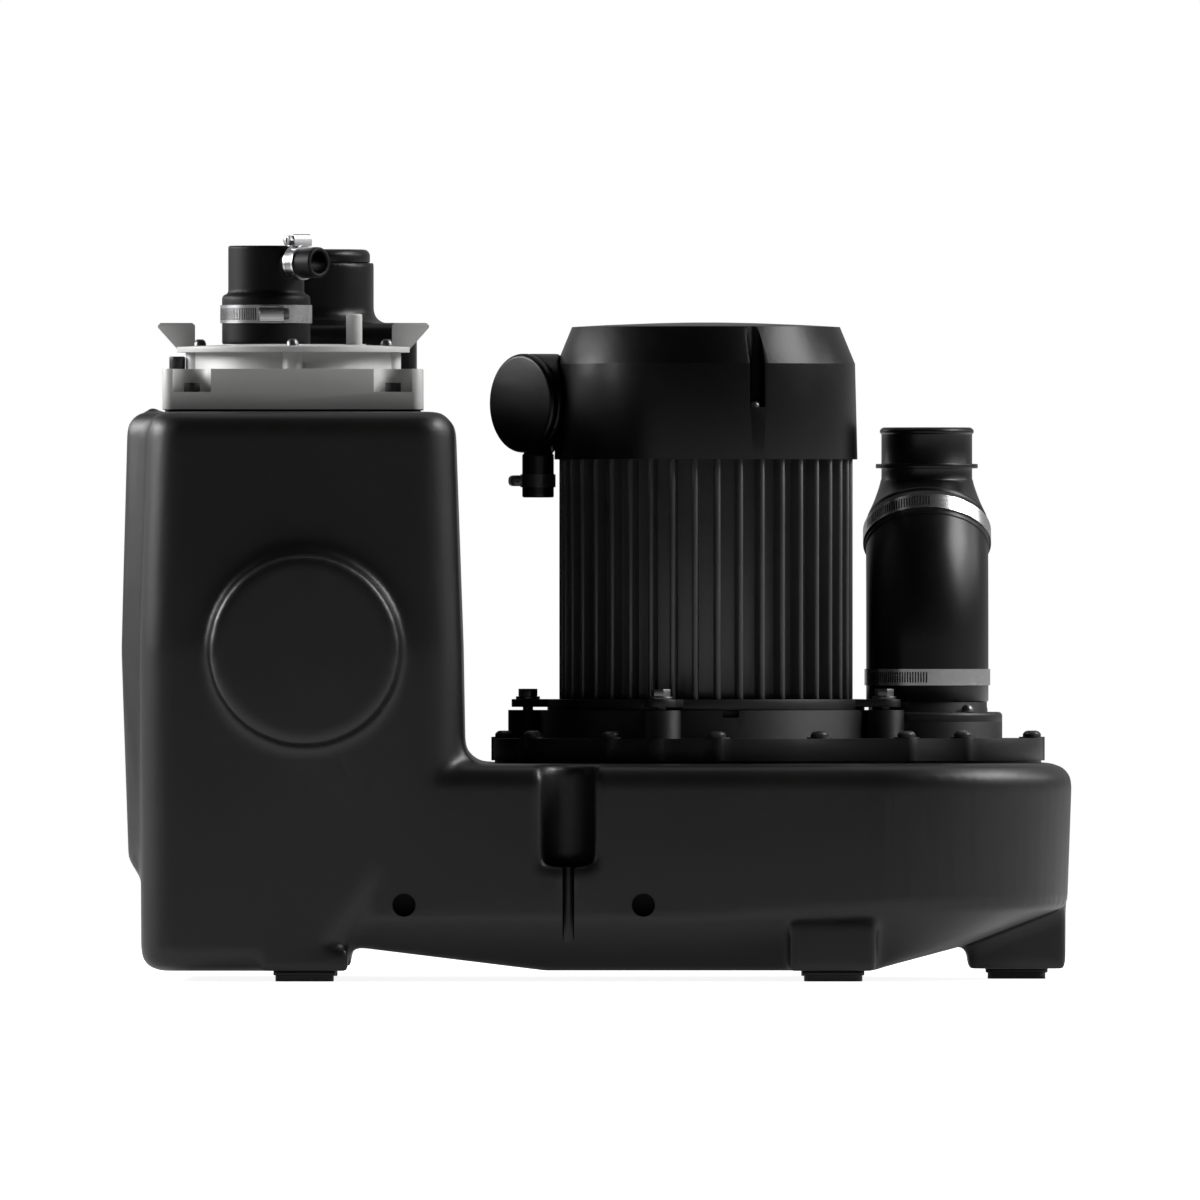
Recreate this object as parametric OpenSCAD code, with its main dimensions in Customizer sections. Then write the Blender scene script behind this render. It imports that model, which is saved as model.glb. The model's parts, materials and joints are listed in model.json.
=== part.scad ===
// Floor-standing macerator lifting pump: collecting tank, macerator pump with upright motor,
// clamped discharge elbow with check flap, inspection base with vent, and level switch.
// Origin: middle of the footprint on the floor. X along the tank, Y away from the viewer, Z up.

/* [Tank] */
// Gap between the tower wall and the pump cover
cover_gap = 17.5; // [15:0.5:40]
// Depth of the tank without the inlet stubs
tank_depth = 390; // [376:1:430]
// Height of the low deck that carries the pump
deck_height = 125; // [118:1:140]
// Height of the tall section's deck
tower_height = 328; // [318:1:350]
// Length of the tall section at the parting line
tower_length = 185.5; // [180:0.5:194]
// Wall of the tank
wall = 5; // [4:0.5:6]
// Height of the foot pads
pad_height = 6; // [4:0.5:8]
// Rounding of the deck edges and of the tower's lower edges
edge_radius = 12; // [9:0.5:14]
// Plan radius of the tower's corners
corner_radius = 22; // [18:0.5:28]
// Plan radius of the corners at the discharge end
nose_radius = 106; // [90:1:120]
// Concave blend between the tower wall and the low deck
step_fillet = 14.5; // [10:0.5:18]
// How far the side panel stands out of the tower
panel_thickness = 11; // [8:0.5:12]
// Half the depth of the side panel
panel_half = 150; // [120:1:160]
// Height at which the side panel runs out
panel_foot = 54; // [40:1:70]

/* [Sump] */
// Height at which the front and back walls turn under
skirt_height = 34.5; // [30:0.5:40]
// Height at which the discharge end turns under
ramp_height = 43; // [40:0.5:50]
// Reach of the flat sump floor left of the motor axis
keel_left = 93.2; // [84:0.1:108]
// Reach of the flat sump floor right of the motor axis
keel_right = 94.8; // [82:0.1:104]
// Length of the tower's flat foot
tower_foot_length = 120; // [114:0.5:125]

/* [Feet] */
// Width of a foot pad
pad_width = 36; // [30:1:40]
// Width of the foot blocks under the walls
foot_width = 50; // [46:1:56]
// Depth of the foot blocks under the walls
foot_depth = 46; // [42:1:56]
// Place of the feet under the tower from its left wall
tower_foot_setback = 95; // [91:0.5:95.5]
// Distance of the feet under the pump from the motor axis
pump_foot_offset = 72.8; // [65:0.1:80]
// Distance of the end foot's middle from the end of the tank
end_foot_setback = 31; // [29:0.5:36]

/* [Inlet stubs] */
// Outside diameter of the inlet stubs, for a sleeve on drain pipe of this size
stub_diameter = 110; // [100:1:112]
// How far a stub stands out of the wall
stub_length = 28; // [24:0.5:34]
// Height of the inlets, and of the parting line
inlet_height = 190.8; // [186:0.2:200]
// Place of the front inlet from the tower's left wall
inlet_setback = 95.3; // [90:0.1:98]
// Shift of the rear fittings towards the pump
rear_shift = 8; // [7:0.5:10]

/* [Anchoring] */
// Distance of the anchor pockets from the tower
anchor_offset = 61.3; // [56:0.1:66]
// Width of an anchor pocket
pocket_width = 29; // [26:0.5:31]
// Depth of an anchor pocket to the start of its round back
pocket_depth = 10; // [8:0.5:12]
// Height of the ledge that an anchor screw's washer bears on
ledge_height = 66; // [60:0.5:72]
// Width of the anchor groove
groove_width = 6.7; // [6:0.1:8]
// Diameter of the blind fixing holes
fixing_hole = 13.4; // [12:0.1:14.5]
// Height of the fixing holes
fixing_height = 44; // [41:0.5:52]
// Places of the two fixing holes along the tank, from the anchor pocket
fixing_left = -94.5; // [-100:0.5:-88]
fixing_right = 43.2; // [38:0.1:50]

/* [Pump cover] */
// Distance of the motor axis from the discharge end of the tank
motor_setback = 211.1; // [206:0.1:216]
// Radius of the cover round the motor
cover_radius = 123.5; // [122:0.5:128]
// Distance of the cover's round end from the motor axis
cover_end_offset = 128.5; // [126:0.5:132]
// Radius of the cover's round end
cover_end_radius = 67; // [64:0.5:70]
// Thickness of the cover's rim
cover_thickness = 12.9; // [11:0.1:15]
// Thickness of the gasket under the cover
gasket_thickness = 1.5; // [1:0.1:2.5]
// Width of the sealing rim round the opening in the deck
rim_width = 15; // [13:0.5:17]
// Depth of the thickened rim below the deck
rim_depth = 20; // [17:0.5:24]
// Distance of the rim bolts from the cover's edge
rim_bolt_inset = 6.5; // [6:0.1:7.5]
// Diameter of the bosses round the rim bolts
rim_boss = 15; // [14:0.2:16.5]
// Radius of the motor seat ring
seat_radius = 96; // [94:0.5:98]
// Height of the motor seat ring above the rim
seat_height = 16.3; // [14:0.1:20]

/* [Rim and motor bolts] */
// Shank diameter of the cover and motor bolts
bolt_size = 6; // [5:0.1:6.4]
// Diameter of a domed cover bolt head
dome_diameter = 10.6; // [9.5:0.1:11.5]
// Radius of the motor bolt circle
lug_pitch_radius = 106.6; // [105.5:0.1:108]
// Turn of the first motor bolt from the front
lug_turn = -14.3; // [-16:0.1:-13]

/* [Motor] */
// Thickness of the motor flange
flange_thickness = 4.6; // [4:0.1:6]
// Radius of the flange plate
flange_radius = 92; // [90:0.5:92.5]
// Radius over the fins
fin_radius = 85.3; // [83:0.1:85.4]
// Radius of the housing between the fins
housing_radius = 77; // [75.5:0.5:78]
// Bore of the stator housing
housing_bore = 71; // [69:0.5:72]
// Height of the stator housing
housing_height = 147; // [142:0.5:155]
// Number of fins
fin_count = 40; // [32:2:44]
// Thickness of a fin
fin_thickness = 3.4; // [2.6:0.1:3.8]
// Length of the stator core
core_length = 90; // [80:1:94]
// Inner radius of the stator core
core_bore = 42; // [40:0.5:44]
// Radius of the shaft at the bearings
shaft_radius = 10; // [9.5:0.1:10.5]
// Outside radius of the bearings
bearing_outer = 23.5; // [23:0.1:25]

/* [Hood] */
// How far the hood covers the housing
hood_overlap = 8; // [5:0.5:10]
// Radius of the hood at its lower edge
hood_radius = 87.9; // [87.8:0.1:89]
// Height of the hood's upright wall
hood_wall_height = 55.4; // [54:0.2:60]
// Height of the sloped shoulder
shoulder_height = 21.4; // [18:0.2:24]
// How far the shoulder draws in
shoulder_inset = 8.8; // [7:0.1:11]
// Wall of the hood
hood_skin = 2.2; // [1.8:0.1:2.3]
// Width of a screw channel in the hood
channel_width = 9.3; // [8.6:0.1:9.6]
// Distance of the hood screws from the motor axis
hood_screw_radius = 82; // [81.4:0.1:82.1]

/* [Terminal box] */
// Radius of the terminal box
terminal_radius = 28.7; // [27:0.1:29.5]
// Distance of the lid's middle from the motor axis, to the left
terminal_reach = 108; // [106:0.5:112]
// Turn of the lid from the front
terminal_turn = 50; // [46:1:54]
// Height of the terminal box's middle above the hood's lower edge
terminal_rise = 32.6; // [31.5:0.1:34]
// Outside radius of the cable nozzle
nozzle_radius = 9.2; // [8.6:0.1:9.6]
// Length of the cable nozzle
nozzle_length = 26; // [22:0.5:30]
// Radius of the cable hole
cable_radius = 4.5; // [4:0.1:5]

/* [Wet end] */
// Radius of the volute chamber
volute_radius = 70; // [66:0.5:72]
// Wall of the volute
volute_wall = 8; // [7:0.5:9]
// Height of the volute chamber
volute_height = 56; // [52:0.5:60]
// Radius of the impeller
impeller_radius = 60; // [56:0.5:62]
// Height of the impeller's vanes
vane_height = 18; // [15:0.5:20]
// Radius of the suction eye in the cutting ring
eye_radius = 25; // [23:0.5:26]
// Outside radius of the cutting ring where it enters the volute
cutting_ring_radius = 32; // [31:0.5:33]
// Radius of the discharge channel
channel_radius = 27; // [25:0.5:27.5]

/* [Discharge] */
// Distance of the discharge behind the motor axis
outlet_back = 14; // [13:0.5:18]
// Radius of the discharge base and of the nozzle's flange
outlet_base_radius = 43.5; // [42.9:0.1:45]
// Height of the discharge base above the rim
outlet_base_height = 9.6; // [8:0.1:10.5]
// Thickness of the nozzle's flange
nozzle_flange = 5.6; // [4.5:0.1:6]
// Height of the shoulder that the elbow stands on
nozzle_shoulder = 5.8; // [5:0.1:8]
// Height of the nozzle's spigot above the shoulder
nozzle_spigot = 27; // [24:0.5:30]
// Radius of the circle of nozzle screws
nozzle_screw_radius = 39.2; // [39:0.1:39.4]
// Outside radius of the rubber elbow
elbow_radius = 35.5; // [34.8:0.1:35.5]
// Wall of the rubber elbow
elbow_wall = 4.3; // [3.5:0.1:5]
// Height of the elbow's upright part
elbow_rise = 34.6; // [32:0.2:40]
// Radius of the elbow's bend
bend_radius = 95; // [88:0.5:105]
// Angle of the elbow's bend
bend_angle = 35; // [30:1:38]
// Length of the elbow's straight cuff
cuff_length = 16.5; // [15.5:0.1:19]
// Radius of the outlet spigot
spigot_radius = 26.4; // [25.8:0.1:27]
// Wall of the outlet spigot
spigot_wall = 3.9; // [3:0.1:4.4]
// Length of the outlet spigot
spigot_length = 30.8; // [28:0.2:36]
// Rise of the outlet piece from the cuff to the spigot
outlet_rise = 26; // [24:0.5:30]
// How far the spigot stands behind the cuff
outlet_shift = 12.5; // [11:0.5:14]

/* [Check flap] */
// Radius of the flap
flap_radius = 24.5; // [23.5:0.1:24.8]
// Thickness of the flap
flap_thickness = 3; // [2.5:0.1:3]
// Bore of the flap's seat
seat_bore = 20; // [18:0.2:20.5]
// Radius of the valve chamber
chamber_radius = 27; // [26.8:0.1:28]

/* [Inspection base] */
// Place of the inspection base from the tower's left wall
base_setback = 87.6; // [86:0.1:90]
// How far the base's middle lies in front of the tank's middle
base_front = 55; // [52:0.5:60]
// Width and depth of the base
base_width = 150.2; // [148:0.2:152]
// Height of the base
base_height = 23.4; // [21:0.2:26]
// Radius of the inspection opening
inspection_radius = 47; // [44:0.5:48]
// Radius of the neck
neck_radius = 57; // [56:0.5:58]
// Height of the neck
neck_height = 9.8; // [8:0.2:12]
// Radius of the inspection cover
lid_radius = 67.3; // [66:0.1:69]
// Thickness of the inspection cover at its edge
lid_plate = 3.2; // [2.8:0.1:4]
// Distance of the base screws from the base's middle lines
base_screw_reach = 58; // [57:0.2:59]
// Width of a screw pocket
screw_pocket = 22; // [20:0.5:23]
// Radius of the circle of cover screws
lid_screw_radius = 54; // [53.4:0.1:54.4]
// Height of the wing ears
ear_height = 14.5; // [12:0.5:16]
// Reach of the wing ears from the cover's middle
ear_reach = 78.5; // [76:0.5:80]

/* [Vent] */
// Distance of the vent from the cover's middle, to the left
vent_offset = 15.7; // [13:0.1:16.5]
// Outside radius of the vent spigot on the cover
vent_spigot = 21.5; // [21:0.1:22]
// Outside radius of the sleeve's collar
collar_radius = 25.6; // [25:0.1:26.5]
// Height of the sleeve's collar
collar_height = 29; // [28:0.5:32]
// Outside radius of the sleeve's upper tube
sleeve_radius = 22; // [21.4:0.1:23]
// Bore radius of the sleeve's upper tube
sleeve_bore = 18.5; // [18:0.1:19]
// Height of the whole sleeve
sleeve_height = 57.1; // [56:0.5:62]
// Outside radius of the side branch
branch_radius = 9; // [8.6:0.1:9.4]
// Bore radius of the side branch
branch_bore = 6.2; // [5.6:0.1:6.6]
// Reach of the side branch from the vent's axis
branch_reach = 44; // [42:0.5:48]
// Turn of the side branch from the front to the right
branch_turn = 45; // [40:1:50]
// Distance of the air nipple from the cover's middle, to the right
nipple_offset = 35.3; // [33:0.1:37]
// Height of the air nipple
nipple_height = 17.5; // [15:0.5:20]

/* [Level switch] */
// Place of the level switch from the tower's left wall
switch_setback = 102.3; // [98:0.1:104]
// How far the level switch lies behind the tank's middle
switch_back = 95; // [92:0.5:104]
// Width of the switch housing's base
switch_width = 112; // [108:0.5:116]
// Depth of the switch housing's base
switch_depth = 104; // [98:0.5:110]
// Height of the switch housing's base
switch_base_height = 51.2; // [46:0.2:56]
// Radius of the switch housing's upper body
switch_radius = 36; // [34:0.2:38]
// Height of the switch housing's upper body
switch_body_height = 35.3; // [32:0.1:36]
// Height of the switch cap
switch_cap_height = 7.6; // [6:0.1:8]
// Radius of the level stem
stem_radius = 6; // [5.5:0.1:6.5]
// Length of the level stem below the deck
stem_length = 280; // [272:1:288]
// Radius of the float
float_radius = 27; // [25:0.5:30]
// Height of the float
float_height = 42; // [38:0.5:46]
// Travel of the float between its stops
float_travel = 75; // [60:1:90]

/* [Clamps] */
// Width of the hose clamps on the elbow
elbow_clamp_width = 9.5; // [8:0.1:10.5]
// Width of the hose clamp on the vent
vent_clamp_width = 10.5; // [9:0.1:11]
// Width of the small hose clamps
small_clamp_width = 7.5; // [6.5:0.1:8.5]

/* [Fits] */
// Clearance round bolts and screws in their holes
bolt_clearance = 0.2; // [0.1:0.05:0.3]
// Clearance of sleeves, seals and inserts in their seats
seat_clearance = 0.1; // [0.05:0.05:0.2]
// Clearance of the turning and sliding fits
running_clearance = 0.05; // [0.02:0.01:0.08]

/* [Hidden] */
$fn = 64;

// Small fixed sizes
stub_edge = 3.5;
seat_width = 2;
seat_step = 0.3;
pocket_edge = 5;
hood_dome = 2.6;
ledge_thickness = 2.5;
air_gap = 0.6;
ball_radius = 3.5;
ball_count = 8;
shield_thickness = 8;
seal_length = 18;
lid_crown = 1.5;
ear_thickness = 4;
capacitor_radius = 19;
capacitor_length = 66;
hood_screw_head = 6.6;
hood_screw_size = 3.5;
flap_seat = 3;
washer_thickness = 1.6;
hex_height = 4.4;
dome_height = 3.6;
impeller_disc = 6;
cutter_gap = 0.6;
back_gap = 8;
nipple_radius = 4.65;
vent_wall = 3;
band_thickness = 0.9;
worm_radius = 2.2;
base_screw_size = 5;
lid_screw_size = 4;
nozzle_screw_size = 4;
shallow_height = 20;
screw_pocket_depth = 13.4;
pin_radius = 1.5;
bolt_reach = 13;
switch_shift = 5;
hinge_offset = 22;
branch_drop = 10;
terminal_front = 11;
hood_taper = 1.4;
nozzle_reach = 97.4;
spigot_ring = 29.7;
tower_draft = 4.4;
base_draft = 2.5;
stem_foot = 22;
lid_boss = 5.8;
plug_radius = 4.65;
groove_depth = 11;
fixing_depth = 21.4;
seat_wall = 8;
lug_boss = 11.5;
hex_flats = 10;
washer_diameter = 14;
lug_gap = 1.7;
lug_radius = 9.5;
rotor_seat = 14;
wheel_seat = 7;
bearing_width = 14;
seal_radius = 18;
channel_floor = 30;
wiring_depth = 15;
lid_thickness = 5;
vane_count = 6;
blade_count = 3;

// Places along the tank
tank_half = tank_depth / 2;
tank_length = panel_thickness + tower_length + cover_gap + cover_radius + motor_setback;
nose_x = tank_length / 2;
tower_left = panel_thickness - nose_x;
tower_right = tower_left + tower_length;
motor_x = nose_x - motor_setback;
keel_start = motor_x - keel_left;
keel_end = motor_x + keel_right;
pump_foot_x = motor_x + pump_foot_offset;
tower_foot_x = tower_left + tower_foot_setback;
tower_foot_end = tower_left + tower_foot_length;
inlet_x = tower_left + inlet_setback;
anchor_x = tower_right + anchor_offset;
outlet_x = motor_x + cover_end_offset;
end_foot_x = nose_x - end_foot_setback;
base_x = tower_left + base_setback;
switch_x = tower_left + switch_setback;
vent_x = base_x - vent_offset;
plug_reach = lid_screw_radius + 2.5 + lid_boss + plug_radius + bolt_clearance;

// Heights
skirt_level = deck_height - edge_radius;
cover_low = deck_height + gasket_thickness;
cover_high = cover_low + cover_thickness;
seat_top = cover_high + seat_height;
flange_low = seat_top + lug_gap;
flange_high = flange_low + flange_thickness;
housing_top = flange_high + housing_height;
shield_top = housing_top + shield_thickness;
hood_low = housing_top - hood_overlap;
hood_ledge = hood_low + channel_floor;
post_top = hood_ledge - ledge_thickness;
core_low = flange_high + 24;
core_high = core_low + core_length;
lower_bearing_low = flange_low + 8.6;
upper_bearing_low = housing_top - bearing_width + 2;
shaft_top = upper_bearing_low + bearing_width + 1;
volute_low = cover_low - volute_height - volute_wall;
disc_high = cover_low - back_gap;
disc_low = disc_high - impeller_disc;
vane_low = disc_low - vane_height;
cutter_low = vane_low - 30;
nozzle_low = cover_high + outlet_base_height;
nozzle_top = nozzle_low + nozzle_flange;
elbow_low = nozzle_top + nozzle_shoulder;
bend_low = elbow_low + elbow_rise;
base_low = tower_height + gasket_thickness;
base_top = base_low + base_height;
neck_top = base_top + neck_height;
lid_edge_top = neck_top + lid_plate;
lid_top = lid_edge_top + lid_crown;
switch_top = base_low + switch_base_height;
cap_low = switch_top + switch_body_height;
branch_height = lid_top + sleeve_height - branch_drop;
terminal_height = hood_low + terminal_rise;
float_low = tower_height - stem_length + stem_foot;

// Fits
bolt_hole = bolt_size / 2 + bolt_clearance;
elbow_bore = elbow_radius - elbow_wall;
sleeve_fit = elbow_bore - seat_clearance;
cuff_radius = elbow_radius + 0.7;
cuff_bore = elbow_bore + 0.4;
bearing_pitch = (bearing_outer + shaft_radius) / 2;
race_gap = 1.9;
terminal_normal = [-sin(terminal_turn), -cos(terminal_turn), 0];
cuff_start = [
  outlet_x,
  outlet_back + bend_radius * (1 - cos(bend_angle)),
  bend_low + bend_radius * sin(bend_angle)
];
cuff_axis = [0, sin(bend_angle), cos(bend_angle)];
cuff_end = cuff_start + cuff_length * cuff_axis;
spigot_y = cuff_end[1] + outlet_shift;
spigot_low = cuff_end[2] + outlet_rise;
spigot_top = spigot_low + spigot_length;
vane_arc = 38;

// Rim bolts: angles round the motor from the left, then angles round the cover's end
rim_angles = [0, 31, 62, 93, 124];
end_angles = [0, 70.5];
line_bolt_share = 0.62;
rim_tangent = acos((cover_radius - cover_end_radius) / cover_end_offset);
hood_screw_angles = [-70, 40, 130];
nozzle_screw_angles = [-54, 36, 126];
lug_angles = [for (k = [0:3]) lug_turn - 90 + 90 * k];

function wall_draft(z) = base_draft * (inlet_height - z) / (inlet_height - pad_height);
function polar(r, a) = [r * cos(a), r * sin(a)];
function rim_points() = let (
  r = cover_radius - rim_bolt_inset,
  e = cover_end_radius - rim_bolt_inset,
  far = [cover_end_offset, 0],
  start = polar(r, rim_tangent),
  end = far + polar(e, rim_tangent),
  front = concat(
    [for (a = rim_angles) if (a > 0) polar(r, 180 + a)],
    [far + polar(e, -end_angles[1])],
    [let (p = start + line_bolt_share * (end - start)) [p[0], -p[1]]]
  )
) concat(
  front,
  [for (p = front) [p[0], -p[1]]],
  [[-r, 0], far + [e, 0]]
);

module at_motor() translate([motor_x, 0, 0]) children();
module at_outlet() translate([outlet_x, outlet_back, 0]) children();
module at_base() translate([base_x, -base_front, 0]) children();
module at_vent() translate([vent_x, -base_front, lid_top]) children();
module at_switch() translate([switch_x, switch_back, 0]) children();
module at_cuff() translate(cuff_start) rotate([-bend_angle, 0, 0]) children();
module at_terminal() {
  translate([motor_x - terminal_reach, -terminal_front, terminal_height])
    rotate([90, 0, -terminal_turn])
      children();
}
module both_sides() {
  children();
  mirror([0, 1, 0]) children();
}
module around(points, z) for (p = points) translate([p[0], p[1], z]) children();
module ring(outer, inner, height) {
  difference() {
    cylinder(r = outer, h = height);
    translate([0, 0, -1]) cylinder(r = inner, h = height + 2);
  }
}
module disc_edge(radius, height, round) {
  rotate_extrude() {
    square([radius - round, height]);
    square([radius, height - round]);
    translate([radius - round, height - round]) circle(round);
  }
}
module rounded_plate(width, depth, round, height) {
  linear_extrude(height) {
    square([width - 2 * round, depth], center = true);
    square([width, depth - 2 * round], center = true);
    for (x = [-1, 1], y = [-1, 1])
      translate([x * (width / 2 - round), y * (depth / 2 - round)]) circle(round);
  }
}
module torus(ring_radius, tube_radius, sides) {
  rotate_extrude($fn = sides) intersection() {
    translate([ring_radius, 0]) circle(tube_radius, $fn = 24);
    translate([0, -tube_radius]) square([ring_radius + tube_radius, 2 * tube_radius]);
  }
}
module slab(x_low, x_high, half, z) {
  translate([x_low, -half, z]) cube([x_high - x_low, 2 * half, 0.2]);
}
module pan_head(diameter, height) {
  rotate_extrude() intersection() {
    translate([0, height - diameter]) circle(diameter);
    square([diameter / 2, height]);
  }
}

// The tall section, drawn in by an inset for its inside
module tower_form(inset) {
  top_ring = tower_height - edge_radius;
  foot_ring = pad_height + edge_radius;
  low_right = deck_height - 20;
  hull() for (side = [-1, 1]) {
    y_top = side * (tank_half - tower_draft - corner_radius);
    y_part = side * (tank_half - corner_radius);
    y_foot = side * (tank_half - base_draft - corner_radius);
    for (x = [tower_left + tower_draft + corner_radius, tower_right - tower_draft - corner_radius])
      translate([x, y_top, top_ring])
        torus(corner_radius - edge_radius, edge_radius - inset, 32);
    for (x = [tower_left + corner_radius, tower_right - corner_radius])
      translate([x, y_part, inlet_height]) cylinder(r = corner_radius - inset, h = 0.2, $fn = 32);
    translate([tower_right + 1.5 - corner_radius, y_part - side * wall_draft(low_right), low_right])
      cylinder(r = corner_radius - inset, h = 0.2, $fn = 32);
    for (x = [tower_left + corner_radius + 0.8, tower_foot_end - corner_radius])
      translate([x, y_foot, foot_ring])
        torus(corner_radius - edge_radius, edge_radius - inset, 32);
  }
}

// The low section with its sloped underside, drawn in by an inset for its inside
module low_form(inset) {
  hidden_x = tower_foot_end + corner_radius + 1;
  skirt_half = tank_half - wall_draft(skirt_height);
  keel_half = skirt_half - skirt_height + pad_height - inset / 2;
  hull() {
    for (side = [-1, 1]) {
      y_deck = side * (tank_half - wall_draft(skirt_level));
      y_skirt = side * skirt_half;
      translate([hidden_x, y_deck - side * corner_radius, skirt_level])
        torus(corner_radius - edge_radius, edge_radius - inset, 32);
      translate([nose_x - nose_radius, y_deck - side * nose_radius, skirt_level])
        torus(nose_radius - edge_radius, edge_radius - inset, 64);
      translate([hidden_x, y_skirt - side * corner_radius, skirt_height + inset / 2])
        cylinder(r = corner_radius - inset, h = 0.2, $fn = 32);
      translate([keel_end - nose_radius, y_skirt - side * nose_radius, skirt_height + inset / 2])
        cylinder(r = nose_radius - inset, h = 0.2, $fn = 64);
      translate([nose_x - base_draft - nose_radius, y_skirt - side * nose_radius, ramp_height + inset])
        cylinder(r = nose_radius - inset, h = 0.2, $fn = 64);
    }
    slab(keel_start, keel_end, keel_half, pad_height + inset);
    slab(hidden_x - corner_radius + inset, keel_start, keel_half + (shallow_height - pad_height) * 0.9,
      shallow_height + inset);
    slab(keel_end, (keel_end + nose_x) / 2 - 3, keel_half / 2, shallow_height + inset);
  }
}

// The raised panel on the tower's end wall
module side_panel() {
  flank = 18;
  bar = 6;
  module rail(x_face, z, r, half) {
    translate([x_face + r, 0, z])
      rotate([90, 0, 0]) cylinder(r = r, h = 2 * half, center = true, $fn = 32);
  }
  hull() {
    rail(-nose_x + 3.3, tower_height - edge_radius, edge_radius, panel_half - flank);
    rail(-nose_x, inlet_height, bar, panel_half - flank);
    rail(-nose_x + 4, panel_foot + 18, bar, panel_half - flank);
    rail(tower_left + 0.5, panel_foot + bar, bar, panel_half - flank);
    rail(tower_left + 6, tower_height - edge_radius, edge_radius, panel_half);
    rail(tower_left + 1, panel_foot + 24, bar, panel_half);
  }
}

module pocket_plan() {
  half = pocket_width / 2;
  translate([0, pocket_depth]) circle(half);
  translate([-half, -2]) square([pocket_width, pocket_depth + 2]);
  difference() {
    translate([-half - pocket_edge, -2]) square([pocket_width + 2 * pocket_edge, pocket_edge + 2]);
    for (side = [-1, 1]) translate([side * (half + pocket_edge), pocket_edge]) circle(pocket_edge);
  }
}

module pocket_wall() {
  outer = pocket_width / 2 + wall;
  intersection() {
    translate([0, pocket_depth]) circle(outer);
    translate([-outer, 4]) square([2 * outer, pocket_depth + outer]);
  }
}

// Stub, pocket and fixing bosses of one wall
module wall_fittings(shift) {
  translate([inlet_x + shift, wall / 2 - tank_half, inlet_height]) rotate([90, 0, 0]) {
    cylinder(d = stub_diameter + 2 * seat_width, h = wall / 2 + seat_step);
    disc_edge(stub_diameter / 2, stub_length + wall / 2, stub_edge);
  }
  translate([anchor_x + shift, -tank_half, 0]) {
    translate([0, 0, ledge_height - 8])
      linear_extrude(deck_height - wall / 2 - ledge_height + 8) pocket_wall();
    translate([-groove_width / 2 - wall, 8, skirt_height])
      cube([
        groove_width + 2 * wall, groove_depth + groove_width / 2 + wall - 8, ledge_height - skirt_height
      ]);
    for (x = [fixing_left, fixing_right])
      translate([x, fixing_depth + wall, fixing_height])
        rotate([90, 0, 0]) cylinder(d = fixing_hole + 2 * wall, h = fixing_depth);
  }
}
module wall_cuts(shift) {
  translate([inlet_x + shift, 2 * wall - tank_half, inlet_height])
    rotate([90, 0, 0]) cylinder(d = stub_diameter - 2 * wall, h = stub_length + wall);
  translate([anchor_x + shift, -tank_half, 0]) {
    translate([0, 0, ledge_height]) linear_extrude(deck_height) pocket_plan();
    translate([0, groove_depth, -1]) cylinder(d = groove_width, h = ledge_height + 2);
    translate([-groove_width / 2, -1, -1]) cube([groove_width, groove_depth + 1, ledge_height + 2]);
    for (x = [fixing_left, fixing_right])
      translate([x, fixing_depth, fixing_height])
        rotate([90, 0, 0]) cylinder(d = fixing_hole, h = 2 * fixing_depth);
  }
}

module cover_outline(inset) {
  big = cover_radius - inset;
  small = cover_end_radius - inset;
  start = polar(big, rim_tangent);
  end = [cover_end_offset, 0] + polar(small, rim_tangent);
  circle(big);
  translate([cover_end_offset, 0]) circle(small);
  polygon([[0, -start[1]], [start[0], -start[1]], [end[0], -end[1]], end, start, [0, start[1]]]);
}

module base_screw_places(z) {
  for (x = [-1, 1], y = [-1, 1])
    translate([x * base_screw_reach, y * base_screw_reach, z]) children();
}

module tank() {
  rim_low = deck_height - rim_depth;
  screw_boss = base_screw_size + 2 * wall;
  color([0.13, 0.13, 0.14]) difference() {
    union() {
      difference() {
        union() {
          tower_form(0);
          low_form(0);
          side_panel();
          translate([tower_right - 2, 0, deck_height]) rotate([90, 0, 0])
            linear_extrude(2 * (tank_half - edge_radius - base_draft), center = true)
              step_blend();
          both_sides() {
            foot_block(tower_foot_x, pad_height + edge_radius);
            foot_block(pump_foot_x, skirt_height);
          }
          translate([nose_x - base_draft - foot_width - 7, -foot_depth, pad_height])
            cube([foot_width + 6.5, 2 * foot_depth, ramp_height - pad_height]);
        }
        tower_form(wall);
        low_form(wall);
      }
      wall_fittings(0);
      mirror([0, 1, 0]) wall_fittings(rear_shift);
      at_motor() translate([0, 0, rim_low]) linear_extrude(rim_depth) cover_outline(0);
      at_base() base_screw_places(tower_height - 18) cylinder(d = screw_boss, h = 16);
      translate([tower_left + 6, -base_front, tower_height - 3]) cylinder(r = 2.8, h = 6.6);
    }
    wall_cuts(0);
    mirror([0, 1, 0]) wall_cuts(rear_shift);
    at_motor() {
      translate([0, 0, rim_low - 1]) linear_extrude(rim_depth + 2) cover_outline(rim_width);
      around(rim_points(), deck_height - bolt_reach - 2) cylinder(r = bolt_hole, h = bolt_reach + 3);
    }
    at_base() {
      translate([0, 0, tower_height - 20]) cylinder(r = inspection_radius, h = 30);
      base_screw_places(tower_height - 15) cylinder(d = base_screw_size + 2 * bolt_clearance, h = 20);
    }
    at_switch() translate([0, 0, tower_height - 20])
      cylinder(r = stem_radius + 3 + bolt_clearance, h = 30);
  }
}
module step_blend() {
  difference() {
    translate([0, -2]) square([step_fillet + 2, step_fillet + 2]);
    translate([step_fillet + 2, step_fillet]) circle(step_fillet);
  }
}
module foot_block(x, top) {
  translate([x - foot_width / 2, base_draft - tank_half, pad_height])
    cube([foot_width, foot_depth, top - pad_height]);
}

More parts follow.
